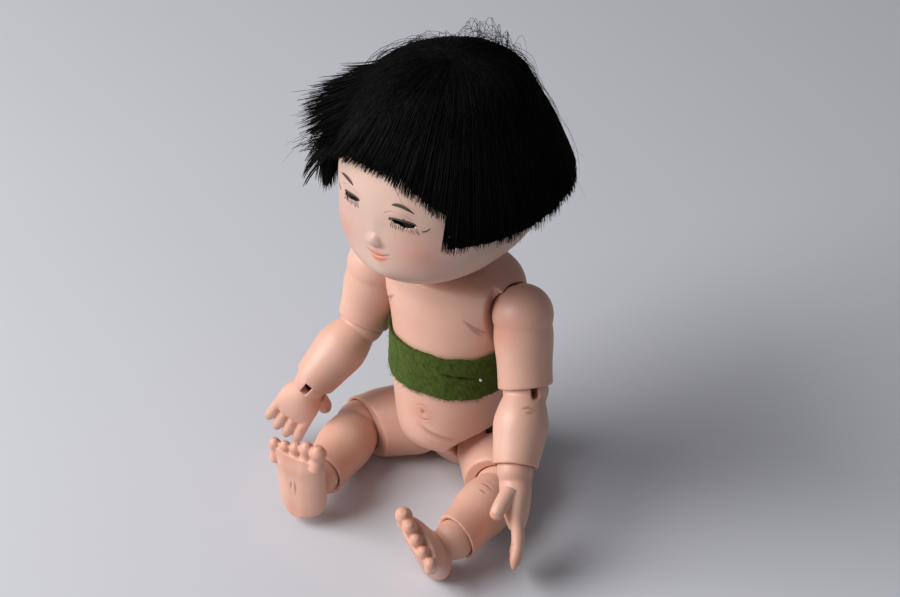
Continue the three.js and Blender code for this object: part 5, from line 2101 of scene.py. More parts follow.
@dataclass
class Head:
    """A round head with heavy-lidded eyes, a small nose and painted lips. Its face is toward -Y."""

    skeleton: Skeleton
    half_width: float = 41.5
    half_depth: float = 41.5
    forward: float = 4.5
    jaw_rise: float = 3.0
    middle: float = 37.5
    top: float = 79.0
    wall: float = 4.5
    cap_cut: float = 58.5
    eye_height: float = 41.5
    eye_half_span: float = 13.0
    eye_radius: float = 7.1
    eye_setback: float = 0.8
    eye_slit: Triple = (4.8, 1.3, 0.9)
    slit_reach: float = 2.2
    socket_gap: float = 0.35
    lid_arch: float = 0.85
    lid_clear: float = 0.9
    lid_edge: float = 0.3
    face_shift: float = 1.2
    right_lift: float = 2.3
    nose_height: float = 30.5
    nose_radius: float = 3.4
    nose_across: float = 1.4
    eye_slant: float = 0.6
    lid_swell: Soft = Soft(3.6, 0.6, (1.7, 1, 1))
    under_lid: Soft = Soft(3.0, 0.2, (1.7, 1, 1))
    lid_crease: Groove = Groove(0.4, 0.35, 0.3, 0.2)
    lid_blush: Soft = Soft(5.5, 0.22, (1.4, 1, 1))
    cheek: Soft = Soft(9.0, 0.7)
    cheek_blush: Soft = Soft(10.5, 0.72)
    nostril: Soft = Soft(0.65, -0.6)
    nostril_stain: Soft = Soft(0.6, 0.6)
    nose_wing: Soft = Soft(1.6, 0.6)
    nose_ridge: Soft = Soft(2.8, 0.4, (1, 1, 2.0))
    nose_blush: Soft = Soft(3.2, 0.25)
    mouth_groove: Groove = Groove(0.36, 0.55, 0.95, 0.15)
    upper_paint: Soft = Soft(0.8, 0.75)
    lower_paint: Soft = Soft(1.05, 0.9)
    upper_swell: Soft = Soft(1.5, 0.22, (1.4, 1, 1))
    lower_swell: Soft = Soft(2.0, 0.4, (1.5, 1, 1))
    chin: Soft = Soft(5.0, 0.7, (1.3, 1, 1))
    brow_sizes: tuple[Pair, ...] = ((0.25, 0.14), (0.85, 0.3), (0.95, 0.32), (0.75, 0.28), (0.12, 0.1))
    lid_sizes: tuple[Pair, ...] = (
        (0.2, 0.16), (0.4, 0.22), (0.42, 0.22), (0.44, 0.22), (0.44, 0.22), (0.4, 0.2), (0.15, 0.12))
    tail_sizes: tuple[Pair, ...] = ((0.1, 0.08), (0.32, 0.16), (0.26, 0.14), (0.06, 0.05))
    lid_angles: tuple[int, ...] = (192, 165, 130, 95, 60, 28, 4)
    lash_seed: int = 11
    lash_count: int = 14
    lash_long: Pair = (1.8, 2.9)
    lash_thick: Pair = (0.12, 0.16)
    voxel: float = 0.55

    def sections(self, grow: float = 0.0) -> list[Section]:
        """The head's sections from the jaw to the crown.

        Args:
            grow: How far outside the head they lie.

        Returns:
            The sections, from the bottom up.
        """
        wide, deep, back = self.half_width, self.half_depth, -self.forward
        flare = self.skeleton.neck_ball + 3.0
        rise = self.top - self.middle
        jaw, middle = self.jaw_rise, self.middle
        listed = [
            (jaw - grow, flare, flare, -3.0), (jaw + 4, wide * 0.48, deep * 0.55, -13.0),
            (jaw + 12, wide * 0.74, deep * 0.77, -13.0),
            (middle * 0.7, wide * 0.96, deep * 0.92, back - 3.5),
            (middle, wide, deep, back), (middle + rise * 0.32, wide * 0.975, deep * 0.975, back),
            (middle + rise * 0.62, wide * 0.83, deep * 0.83, back),
            (middle + rise * 0.87, wide * 0.53, deep * 0.53, back), (self.top + grow, 2.0, 2.0, back),
        ]
        return [Section(z, a + grow, b + grow, 0.0, y) for z, a, b, y in listed]

    def face_depth(self, across: float) -> float:
        """How far forward the face lies beside its middle line."""
        return -self.forward - self.half_depth * math.sqrt(1 - (across / self.half_width) ** 2)

    def eye_centre(self, side: Side) -> Vector:
        """The middle of an eye."""
        across = side.value * self.eye_half_span
        depth = self.face_depth(across) + self.eye_setback + self.eye_radius
        return Vector((across, depth, self.eye_height))

    def eye_lift(self, side: Side) -> float:
        """How much higher an eye's opening is than its middle; the face leans a little."""
        return self.right_lift if side is Side.RIGHT else 0.0

    def slit(self, side: Side) -> Body:
        """The opening between an eye's lids: arched above and flatter below.

        Args:
            side: The doll's left or right.

        Returns:
            The body to cut away.
        """
        half, high, low = self.eye_slit
        centre = self.eye_centre(side)
        ring = []
        for x, z in circle(36):
            lift = (high if z > 0 else low) * math.copysign(abs(z) ** self.lid_arch, z)
            slant = self.eye_lift(side) - self.eye_slant * x
            ring.append(centre + Vector((self.face_shift + side.value * half * x, 0, lift + slant)))
        reach = Vector((0, -self.slit_reach * self.eye_radius, 0))
        return skin([ring, [p + reach for p in ring]])

    def build(self) -> Surface:
        """Makes the head's skin.

        Returns:
            The skin, ready to be dressed.
        """
        neck = self.skeleton.neck_joint()
        own = self.skeleton.head_matrix().inverted() @ neck.matrix
        size = neck.ball
        column = loft([Section(0, size * 0.8, size * 0.8),
                       Section(self.jaw_rise, size * 0.9, size * 0.9, 0, -1),
                       Section(self.jaw_rise + self.wall, size, size, 0, -3)], 36, 8)
        tip = self.face_depth(0) + self.nose_radius * 0.35
        nose_spot = Matrix.Translation((self.nose_across, tip, self.nose_height))
        nose = ball(self.nose_radius, nose_spot @ Matrix.Diagonal((1.05, 1.1, 0.95, 1)))
        cuts = [vast(Matrix.Translation((0, 0, self.cap_cut + BIG / 2))), moved(slot_fan(neck), own),
                *hook_room(Matrix.Rotation(math.pi, 4, "X"))]
        for side in Side:
            cuts.append(ball(self.eye_radius + self.socket_gap, Matrix.Translation(self.eye_centre(side))))
            cuts.append(self.slit(side))
        skull = carve(loft(self.sections(), 96, 70), [column, ball(size), nose], cuts, self.voxel, 4)
        fine = [(self.eye_centre(side), 12.5) for side in Side]
        fine.append((Vector((self.face_shift, self.face_depth(0), self.nose_height - 4.0)), 11.0))
        return Surface(refine(skull, fine), self.skeleton.head_matrix())

    def shade_socket(self, surface: Surface, side: Side) -> None:
        """Paints near-black shade onto the walls of an eye's opening behind the lids' edges.

        Args:
            surface: The head's skin.
            side: The doll's left or right.
        """
        half, high, low = self.eye_slit
        off = surface.points - np.array(self.eye_centre(side))
        across = (off[:, 0] - self.face_shift) * side.value / (half + self.socket_gap)
        lift = off[:, 2] - self.eye_lift(side) + self.eye_slant * np.clip(across, -1, 1)
        tall = np.where(lift > 0, high, low) + self.socket_gap
        inside = across ** 2 + (lift / tall) ** 2 < 1.1
        ahead = (off[:, 1] < 0) & (off[:, 1] > -self.slit_reach * self.eye_radius)
        turned = np.clip((0.86 + surface.normals[:, 1]) / 0.25, 0, 1)
        # The socket layer is painted shade on the opening's inner walls, where the lids shade them.
        layer = surface.layer("socket")
        layer[:] = np.maximum(layer, inside * ahead * turned)

    def model(self, surface: Surface) -> None:
        """Models and paints the face.

        Args:
            surface: The head's skin.
        """
        front = Vector((0, self.face_depth(0), 0))
        blushed = surface.seen(CHEEK) or Vector((18, 0, 24))
        middle, base = self.nose_across, self.nose_height
        for side in Side:
            mirror = Vector((side.value, 1, 1))
            height = self.eye_height + self.eye_lift(side)
            eye = Vector((self.eye_half_span, self.face_depth(self.eye_half_span), height))
            self.shade_socket(surface, side)
            surface.swell((eye + Vector((0.5, 0, 4.6))) * mirror, self.lid_swell)
            surface.swell((eye + Vector((0, 0, -4.4))) * mirror, self.under_lid)
            centre = (eye + Vector((0, 0, 0.3))) * mirror
            crease = arc(centre, Vector((6.6 * side.value, 0, -0.8)), Vector((0, 0, 4.0)), (20, 165))
            surface.groove([self.on_face(surface, p) for p in crease], self.lid_crease)
            surface.paint("blush", eye * mirror + Vector((0, 0, 3)), self.lid_blush)
            cheek = self.on_face(surface, blushed * mirror)
            surface.swell(cheek, self.cheek)
            surface.paint("blush", cheek, self.cheek_blush)
            dent = self.on_face(surface, Vector((middle + 1.5 * side.value, 0, base - 2.6)))
            surface.swell(dent, self.nostril)
            # Painted shade in the nostril's hollow.
            surface.paint("fold", dent, self.nostril_stain)
            wing = self.on_face(surface, Vector((middle + 3.2 * side.value, 0, base - 0.9)))
            surface.swell(wing, self.nose_wing)
        surface.swell(front + Vector((middle, 0, base + 5.5)), self.nose_ridge)
        surface.paint("blush", front + Vector((middle, -1.5, base)), self.nose_blush)
        self.mouth(surface)
        surface.refresh()

    def finish(self, surface: Surface, face: Material) -> None:
        """Sets the painted head in place."""
        piece("head_skin", surface.settle((*SKIN_LAYERS, "lips", "socket")), face, "head", ["head"])

    def on_face(self, surface: Surface, point: Vector) -> Vector:
        """The place on the face straight behind a point before it."""
        found = surface.tree.ray_cast(Vector((point.x, -120, point.z)), Vector((0, 1, 0)))[0]
        return found if found is not None else point

    def mouth(self, surface: Surface) -> None:
        """Models and paints the small closed mouth.

        Args:
            surface: The head's skin.
        """
        upper, lower = surface.line(UPPER_LIP), surface.line(LOWER_LIP)
        line, chin = surface.line(MOUTH_LINE), surface.seen(CHIN)
        surface.stroke("lips", upper, self.upper_paint)
        surface.stroke("lips", lower, self.lower_paint)
        surface.groove(line, self.mouth_groove)
        surface.swell(lower[1].lerp(lower[2], 0.5), self.lower_swell)
        for spot in (upper[1], upper[3]):
            surface.swell(spot, self.upper_swell)
        if chin is not None:
            surface.swell(chin, self.chin)

    def paint_strokes(self, surface: Surface, brow: Material, lash: Material) -> None:
        """Lays the painted brows, lid lines and lower lashes on the face.

        Args:
            surface: The head's skin, before it is set in place.
            brow: The paint of the brows and lids.
            lash: The lashes' paint.
        """
        tail = surface.line(LASH_TAIL)
        for side in Side:
            mirror = Vector((side.value, 1, 1))
            rise = Vector((0, 0, self.eye_lift(side)))
            strokes = (
                ("brow", surface.line(BROWS[side]), self.brow_sizes),
                ("lid_line", self.lid_line(surface, side), self.lid_sizes),
                ("lash_tail", [self.on_face(surface, p * mirror + rise) for p in tail], self.tail_sizes),
            )
            for name, path, sizes in strokes:
                data = as_mesh(tube(path, sizes, Vector((0, -1, 0)), 12, 26), name)
                self.lay(data, surface, f"{side.word}_{name}", brow)
            paths, thick = self.lashes(surface, side)
            self.lay(strands(paths, thick, 0.3), surface, f"{side.word}_lashes", lash)

    def lay(self, data: Mesh, surface: Surface, name: str, paint: Material) -> None:
        """Sets a stroke's mesh on the head as a piece."""
        smoothed(data).transform(TO_METRES @ surface.to_doll)
        piece(name, data, paint, "head")

    def lid_line(self, surface: Surface, side: Side) -> list[Vector]:
        """The line along the edge of an upper lid, from the inner corner to the outer.

        Args:
            surface: The head's skin.
            side: The doll's left or right.

        Returns:
            The line's points.
        """
        half, high, _ = self.eye_slit
        path = []
        for degrees in self.lid_angles:
            turn = math.radians(degrees)
            x, z = math.cos(turn), math.sin(turn)
            rise = high * math.copysign(abs(z) ** self.lid_arch, z) - self.eye_slant * x + self.lid_clear
            across = self.face_shift + side.value * (self.eye_half_span + (half + 0.5) * x)
            spot = self.on_face(surface, Vector((across, 0, self.eye_height + self.eye_lift(side) + rise)))
            path.append(spot + Vector((0, -0.05, self.lid_edge - self.lid_clear)))
        return path

    def lashes(self, surface: Surface, side: Side) -> Hairs:
        """Short strokes that hang from the edge of a lower lid.

        Args:
            surface: The head's skin.
            side: The doll's left or right.

        Returns:
            Each lash's points and its radius.
        """
        dice = random.Random(self.lash_seed)
        half, _, low = self.eye_slit
        paths, thick = [], []
        for step in range(self.lash_count):
            share = -0.9 + 1.95 * step / (self.lash_count - 1)
            edge = self.eye_height + self.eye_lift(side) - self.eye_slant * share - 0.35
            edge -= low * math.sqrt(max(0.0, 1 - share * share))
            long = dice.uniform(*self.lash_long)
            lean = 0.1 + 0.45 * share + dice.uniform(-0.15, 0.15)
            path = []
            for t in (0.0, 0.5, 1.0):
                across = self.eye_half_span + half * share + lean * long * t
                spot = Vector((self.face_shift + side.value * across, 0, edge - long * t))
                path.append(self.on_face(surface, spot) + Vector((0, -0.04, 0)))
            paths.append(path)
            thick.append(dice.uniform(*self.lash_thick))
        return paths, thick


@dataclass(frozen=True)
class EyeFinish:
    """Dark brown glass with a black pupil."""

    name: str = "eye_glass"
    iris: Colour = (0.010, 0.005, 0.0035)
    ray: Colour = (0.022, 0.010, 0.006)
    white: Colour = (0.55, 0.52, 0.47)

    def material(self) -> Material:
        """Makes the glass.

        Returns:
            The material.
        """
        paint = Paint(self.name).set(Roughness=0.22, Specular_IOR_Level=0.16)
        rays = paint.ramp(paint.noise(2600.0, 3.0), 0.4, 0.75)
        colour = paint.mix(rays, self.iris, self.ray)
        colour = paint.mix(paint.layer("pupil"), colour, (0.002, 0.002, 0.002))
        paint.colour(paint.mix(paint.layer("white"), colour, self.white))
        return paint.material


@dataclass
class Eyes:
    """A pair of glass eyes, set behind the lids."""

    head: Head
    iris: float = 6.9
    pupil: float = 2.4

    def build(self, material: Material) -> None:
        """Makes both eyes and sets them in the head.

        Args:
            material: The glass.
        """
        for side in Side:
            mesh = smoothed(as_mesh(ball(self.head.eye_radius, Matrix(), 64), "eye"))
            place = self.head.skeleton.head_matrix() @ Matrix.Translation(self.head.eye_centre(side))
            eye = Surface(mesh, place)
            off = np.hypot(eye.points[:, 0], eye.points[:, 2])
            ahead = eye.points[:, 1] < 0
            eye.layer("pupil")[:] = np.clip((self.pupil - off) * 2, 0, 1) * ahead
            eye.layer("white")[:] = np.maximum(np.clip((off - self.iris) * 2, 0, 1), ~ahead)
            name = f"{side.word}_eye"
            piece(f"{name}_glass", eye.settle(("pupil", "white")), material, "head", [name])


@dataclass
class Wig:
    """A black bob with a fringe: a dark core under many laid strands, some of them loose."""

    head: Head
    crown: float = 13.0
    flare: float = 13.0
    sweep: float = 10.5
    spread: float = 3.5
    crown_left: float = 2.0
    crown_back: float = 6.5
    depth: float = 7.5
    gap: float = 0.65
    fringe_height: float = 60.5
    drop_from: float = 11.0
    drop: float = 31.0
    fringe_line: tuple[Pair, ...] = (
        (-27, 57.6), (-5, 60.2), (5, 59.4), (11, 57.4), (20, 54.2), (32.5, 46.8))
    to_left: float = 34.0
    to_right: float = 27.0
    flare_height: float = 61.0
    flare_depth: float = 8.0
    bob_height: float = 39.5
    bob_slope: float = -3.0
    bob_tilt: float = 2.0
    spare: float = 12.0
    core_depth: float = 1.3
    ridge_height: float = 0.16
    front_seed: int = 21
    back_seed: int = 22
    lock_seed: int = 8
    loose_seed: int = 5
    strand_count: int = 2300
    strand_points: int = 10
    strand_steps: int = 52
    strand_thick: Pair = (0.16, 0.32)
    under_share: float = 0.14
    flare_reach: Pair = (7.5, 2.4)
    flare_length: float = 17.0
    lock_count: int = 190
    lock_root: Triple = (-37.0, -25.0, 63.0)
    lock_middle: Triple = (-39.0, -27.5, 48.0)
    lock_end: Triple = (-38.6, -31.0, 33.5)
    lock_thick: Pair = (0.16, 0.3)
    loose_count: int = 300
    loose_thick: Pair = (0.055, 0.1)
    loop_count: int = 46
    loop_angle: Pair = (82, 17)
    loop_height: Triple = (2.5, 12.0, 5.0)
    loop_thick: Pair = (0.06, 0.1)
    stray_sides: tuple[tuple[float, float, int], ...] = ((185, 240, 34), (-25, 25, 16), (95, 150, 12))
    stray_long: Pair = (8, 22)
    stray_thick: Pair = (0.05, 0.09)
    flare_behind: float = 4.0
    flare_end: float = 10.0
    voxel: float = 0.8
    kept: dict[float, Section] = field(default_factory=dict)

    @property
    def top(self) -> float:
        """The crown's height."""
        return self.head.top + self.crown

    @property
    def fringe_back(self) -> float:
        """How far back the fringe reaches."""
        return -0.3 * self.head.half_depth

    def sections(self, less: float) -> list[Section]:
        """The hair's outside, set in by a depth, from its lowest edge to the crown.

        Args:
            less: The depth.

        Returns:
            The sections, from the bottom up.
        """
        top, low, high = self.top, self.bob_height - self.spare, self.fringe_height
        widest = self.head.half_width + self.flare
        rise = top - high
        listed = [(low, 1.05), (self.bob_height, 1.03), ((self.bob_height + high) / 2, 0.936),
                  (high, 0.825), (high + rise * 0.4, 0.66), (high + rise * 0.7, 0.545),
                  (high + rise * 0.91, 0.34), (top, 0.05)]
        made = []
        for z, share in listed:
            down = (top - z) / (top - low)
            radius = max(0.4, widest * share - less)
            x = self.crown_left * (1 - down) - self.sweep * down
            y = self.crown_back * (1 - down) - self.head.forward
            made.append(Section(z, radius + self.spread * down, radius, x, y))
        return made

    def known(self, share: float) -> Section:
        """The outside's section at a share of the way up, looked up and kept.

        Args:
            share: From the lowest edge, 0, to the crown, 1.

        Returns:
            The section.
        """
        key = round(share, 3)
        if key not in self.kept:
            self.kept[key] = section_at(self.sections(0.0), key)
        return self.kept[key]

    def place(self, angle: float, share: float, less: float) -> Vector:
        """A point of the hair.

        Args:
            angle: Round the head, in radians from the doll's left.
            share: From the crown, 0, to the lowest edge, 1.
            less: Depth under the outside.

        Returns:
            The point in the head's frame.
        """
        s = self.known(1 - share)
        a, b = max(0.3, s.a - less), max(0.3, s.b - less)
        slope = 1 - share
        return Vector((s.x + a * math.cos(angle), s.y + b * math.sin(angle), s.z - less * slope ** 3))

    def end_height(self, point: Vector, under: bool) -> float:
        """The height at which the hair is cut off near a point.

        Args:
            point: A point of the hair.
            under: True under the flaring outer layer.

        Returns:
            The height in the head's frame.
        """
        if point.y < self.fringe_back and -self.to_right < point.x < self.fringe_line[-1][0]:
            return float(np.interp(point.x, *zip(*self.fringe_line)))
        tilt, slope = (math.tan(math.radians(turn)) for turn in (self.bob_tilt, self.bob_slope))
        trim = self.bob_height - point.x * tilt - point.y * slope
        if point.x < -self.to_right and point.y < self.flare_end and not under:
            return max(trim, self.flare_height)
        return trim

    def core(self) -> Surface:
        """The dark body of the hair.

        Returns:
            The core's skin.
        """
        turn, at = Matrix.Rotation, Matrix.Translation
        high, below = self.fringe_height, Matrix.Translation((0, 0, -BIG / 2))
        outer = loft(self.sections(self.core_depth), 96, 60)
        inner = loft(self.sections(self.depth), 72, 50)
        hollow = combine(inner, vast(at((0, 0, high + BIG / 2))), "DIFFERENCE")
        spot = ((self.to_left - self.to_right) / 2, self.fringe_back - BIG / 2, high)
        opening = block(Vector((self.to_left + self.to_right, BIG, BIG)), at(spot))
        under = block(Vector((BIG, 2 * BIG, BIG)),
                      at((self.drop_from, 0, high)) @ turn(math.radians(self.drop), 4, "Y") @ below)
        level = block(Vector((2 * BIG, 2 * BIG, BIG)), at((0, 0, high)) @ below)
        face = combine(combine(opening, under, "INTERSECT"), level, "INTERSECT")
        tilt, slope = turn(math.radians(self.bob_tilt), 4, "Y"), turn(-math.radians(self.bob_slope), 4, "X")
        trim = vast(at((0, 0, self.bob_height)) @ tilt @ slope @ below)
        layer = vast(at((-BIG / 2 - self.to_right, self.flare_end - BIG / 2, self.flare_height - BIG / 2)))
        lift = combine(layer, loft(self.sections(self.flare_depth), 72, 50), "DIFFERENCE")
        cuts = [loft(self.head.sections(self.gap), 72, 50), hollow, face, trim, lift]
        return Surface(carve(outer, [], cuts, self.voxel, 3), self.head.skeleton.head_matrix())

    def comb(self, seed: int, middle: float) -> Hairs:
        """Strands laid from the whorl to the cut edges, over half of the head.

        Args:
            seed: Starts the dice.
            middle: The angle at the middle of that half, from the doll's left.

        Returns:
            Each strand's points and its radius.
        """
        dice = random.Random(seed)
        paths, thick = [], []
        while len(paths) < self.strand_count:
            angle = middle + dice.uniform(-math.pi / 2, math.pi / 2)
            under = dice.random() < self.under_share
            less = self.flare_depth + dice.uniform(-0.6, 0.3) if under else dice.triangular(-0.15, 1.5, 0.4)
            start = 0.5 if under else dice.triangular(0.0, 0.62, 0.04)
            path = self.strand(dice, angle, start, less, under)
            if len(path) < 6:
                continue
            last = self.strand_points - 1
            paths.append([path[round(k * (len(path) - 1) / last)] for k in range(last + 1)])
            thick.append(dice.uniform(*self.strand_thick))
        return paths, thick

    def strand(self, dice: random.Random, angle: float, start: float, less: float, under: bool) -> Ring:
        """One strand, down to where it was cut.

        Args:
            dice: The hair's own dice.
            angle: Round the head, in radians from the doll's left.
            start: Where it comes out, from the crown, 0, to the lowest edge, 1.
            less: Depth under the outside.
            under: True under the flaring outer layer.

        Returns:
            The strand's points.
        """
        twist, phase = dice.gauss(0, 0.03), dice.uniform(0, 6.28)
        wave = dice.uniform(0.08, 0.35)
        clump = math.sin(23 * angle + 1.7 * math.sin(7 * angle)) + 0.7 * math.sin(51 * angle)
        ragged = clump + dice.gauss(0, 1.0)
        reach = max(0.0, dice.gauss(*self.flare_reach) + 1.6 * clump)
        out = Vector((math.cos(angle), math.sin(angle), 0))
        around = Vector((-math.sin(angle), math.cos(angle), 0))
        path = []
        for step in range(self.strand_steps + 1):
            share = start + (1.0 - start) * step / self.strand_steps
            spot = self.place(angle + twist * share, share, less)
            flaring = spot.x < 2 - self.to_right and spot.y < self.flare_behind and not under
            fringe = spot.y < self.fringe_back and -self.to_right < spot.x < self.to_left
            end = self.end_height(spot, under) + ragged * (0.4 if fringe else 1.0)
            if spot.z < end:
                break
            near = max(0.0, 1 - (spot.z - end) / self.flare_length)
            kick = reach * near ** 1.7 if flaring else 0.3 * near ** 2
            rise = Vector((0, 0, 0.25 * kick if flaring else 0.0))
            path.append(spot + out * kick + rise + around * (wave * math.sin(9 * share + phase)))
        return path

    def lock(self, seed: int) -> Hairs:
        """The short lock that hangs in front of the right ear, below the flaring layer.

        Args:
            seed: Starts the dice.

        Returns:
            Each hair's points and its radius.
        """
        dice = random.Random(seed)
        paths, thick = [], []
        for _ in range(self.lock_count):
            across, along = dice.gauss(0, 1.7), dice.gauss(0, 1.6)
            root = Vector((self.lock_root[0] + across * 0.9, self.lock_root[1] + along, self.lock_root[2]))
            middle = Vector((self.lock_middle[0] + across, self.lock_middle[1] + along, self.lock_middle[2]))
            low = self.lock_end[2] + dice.gauss(0, 1.2) + 0.5 * abs(across)
            end = Vector((self.lock_end[0] + across * 1.15, self.lock_end[1] + along * 1.1, low))
            paths.append([Vector(spline((root, middle, end), k / 7)) for k in range(8)])
            thick.append(dice.uniform(*self.lock_thick))
        return paths, thick

    def loose(self, seed: int) -> Hairs:
        """Fine stray hairs over the head, loops on the crown, and long strays at the sides.

        Args:
            seed: Starts the dice.

        Returns:
            Each hair's points and its radius.
        """
        dice = random.Random(seed)
        paths, thick = [], []
        while len(paths) < self.loose_count:
            angle = dice.uniform(0, FULL_TURN)
            start = dice.triangular(0.0, 0.7, 0.1)
            long = dice.uniform(0.12, 0.4)
            lift = dice.triangular(0.3, 4.0, 0.9)
            drift = dice.uniform(-0.5, 0.5)
            path = []
            for step in range(10):
                t = step / 9
                share = min(0.97, start + long * t)
                rise = lift * math.sin(math.pi * min(1.0, t * dice.uniform(0.92, 1.0))) + 0.3
                spot = self.place(angle + drift * t, share, -rise * 0.7)
                path.append(spot + Vector((0, 0, rise * 0.45 * (1 - share))))
            end = path[-1]
            if end.z < self.end_height(end, False) - 3:
                continue
            paths.append(path)
            thick.append(dice.uniform(*self.loose_thick))
        for _ in range(self.loop_count):
            paths.append(self.loop(dice))
            thick.append(dice.uniform(*self.loop_thick))
        for low, high, count in self.stray_sides:
            for _ in range(count):
                paths.append(self.stray(dice, math.radians(dice.uniform(low, high))))
                thick.append(dice.uniform(*self.stray_thick))
        return paths, thick

    def loop(self, dice: random.Random) -> list[Vector]:
        """One hair that springs up behind the whorl and comes down again.

        Args:
            dice: The hair's own dice.

        Returns:
            The hair's points.
        """
        first = math.radians(dice.gauss(*self.loop_angle))
        second = first + dice.uniform(-0.45, 0.45)
        share = dice.uniform(0.12, 0.26)
        start = self.place(first, share, 0.4)
        end = self.place(second, share + dice.uniform(-0.05, 0.09), 0.4)
        height = dice.triangular(*self.loop_height)
        lean = Vector((dice.uniform(-2, 2), dice.uniform(-2, 2), 0))
        path = []
        for step in range(13):
            t = step / 12
            arch = math.sin(math.pi * t) ** 0.75
            path.append(start.lerp(end, t) + Vector((0, 0, height * arch)) + lean * arch)
        return path

    def stray(self, dice: random.Random, angle: float) -> list[Vector]:
        """One long hair that leaves the head's side and droops.

        Args:
            dice: The hair's own dice.
            angle: Round the head, in radians from the doll's left.

        Returns:
            The hair's points.
        """
        share = dice.uniform(0.3, 0.62)
        start = self.place(angle, share, 0.3)
        ahead = self.place(angle + dice.uniform(-0.2, 0.2), share + 0.05, -0.3)
        out = Vector((math.cos(angle), math.sin(angle), 0))
        way = ((ahead - start).normalized() + out * dice.uniform(0.1, 0.6)).normalized()
        long = dice.uniform(*self.stray_long)
        sag = dice.uniform(0.0, 0.25) * long
        return [start + way * (long * k / 9) - Vector((0, 0, sag * (k / 9) ** 2)) for k in range(10)]

    def build(self, material: Material) -> None:
        """Makes the core and its strands and puts them on the head.

        Args:
            material: The hair's finish.
        """
        core = self.core()
        flat = core.points - np.array((0, -self.head.forward, 0))
        angle = np.arctan2(flat[:, 1], flat[:, 0])
        ridge = np.sin(61 * angle) + np.sin(97 * angle + 1) + 0.7 * np.sin(173 * angle + 2)
        core.points += core.normals * (self.ridge_height * ridge)[:, None]
        piece("wig_core", core.settle(()), material, "head", ["wig"])
        to_doll = TO_METRES @ self.head.skeleton.head_matrix()
        groups = (
            ("front_hair", self.comb(self.front_seed, -math.pi / 2)),
            ("back_hair", self.comb(self.back_seed, math.pi / 2)),
            ("ear_lock", self.lock(self.lock_seed)), ("loose_hairs", self.loose(self.loose_seed)),
        )
        for name, (paths, thick) in groups:
            data = strands(paths, thick)
            data.transform(to_doll)
            piece(name, data, material, "head")


# Stringing and small fittings


@dataclass
class Stringing:
    """Covered elastics, and the wire hooks, pins and ring that they run between."""

    skeleton: Skeleton
    joints: dict[Side, Joints]
    radius: float = 1.2
    end: float = 1.7
    gap: float = 0.35
    wire: float = 0.7
    thread: float = 0.06

    def cord(self, joint: BallJoint, spare: float) -> Mesh:
        """One elastic, with the lay of its covering thread.

        Args:
            joint: The joint whose elastic it is.
            spare: How much longer than the bone it is at its inner end.

        Returns:
            The mesh in metres.
        """
        low, high = self.end, joint.cord_length + spare - self.end
        steps = max(8, int((high - low) / 0.5))
        rings = []
        for step in range(steps + 1):
            z = low + (high - low) * step / steps
            ring = []
            for side in range(18):
                turn = FULL_TURN * side / 18
                lay = math.sin(6 * turn + 3.2 * z) * math.sin(6 * turn - 3.2 * z)
                size = self.radius - self.thread + self.thread * lay
                ring.append(Vector((size * math.cos(turn), size * math.sin(turn), z)))
            rings.append(ring)
        mesh = smoothed(as_mesh(skin(rings), "elastic"))
        mesh.transform(TO_METRES @ joint.matrix)
        return mesh

    def build(self, elastic: Material) -> None:
        """Makes every elastic and strings it on its own body.

        Args:
            elastic: The elastics' finish.
        """
        spares = {"shoulder": self.end - self.gap, "hip": self.end - self.wire - self.gap}
        named = [("neck", self.skeleton.neck_joint(), 0.0)]
        for side in Side:
            for key in ("shoulder", "elbow", "wrist", "hip", "knee", "ankle"):
                named.append((f"{side.word}_{key}", self.joints[side][key], spares.get(key, 0.0)))
        for key, joint, spare in named:
            node = f"{key}_elastic"
            piece(f"{node}_cover", self.cord(joint, spare), elastic, f"{key}_cord", [node])


def dress_node(name: str, material: Material) -> None:
    """Gives a solid that stays in view its finish.

    Args:
        name: The solid's name.
        material: Its finish.
    """
    item = bpy.data.objects.get(name)
    if item is None:
        LOG.warning("no solid named %s", name)
        return
    item.data.materials.clear()
    item.data.materials.append(material)
    LOG.info("%s: solid kept", name)


# Studio


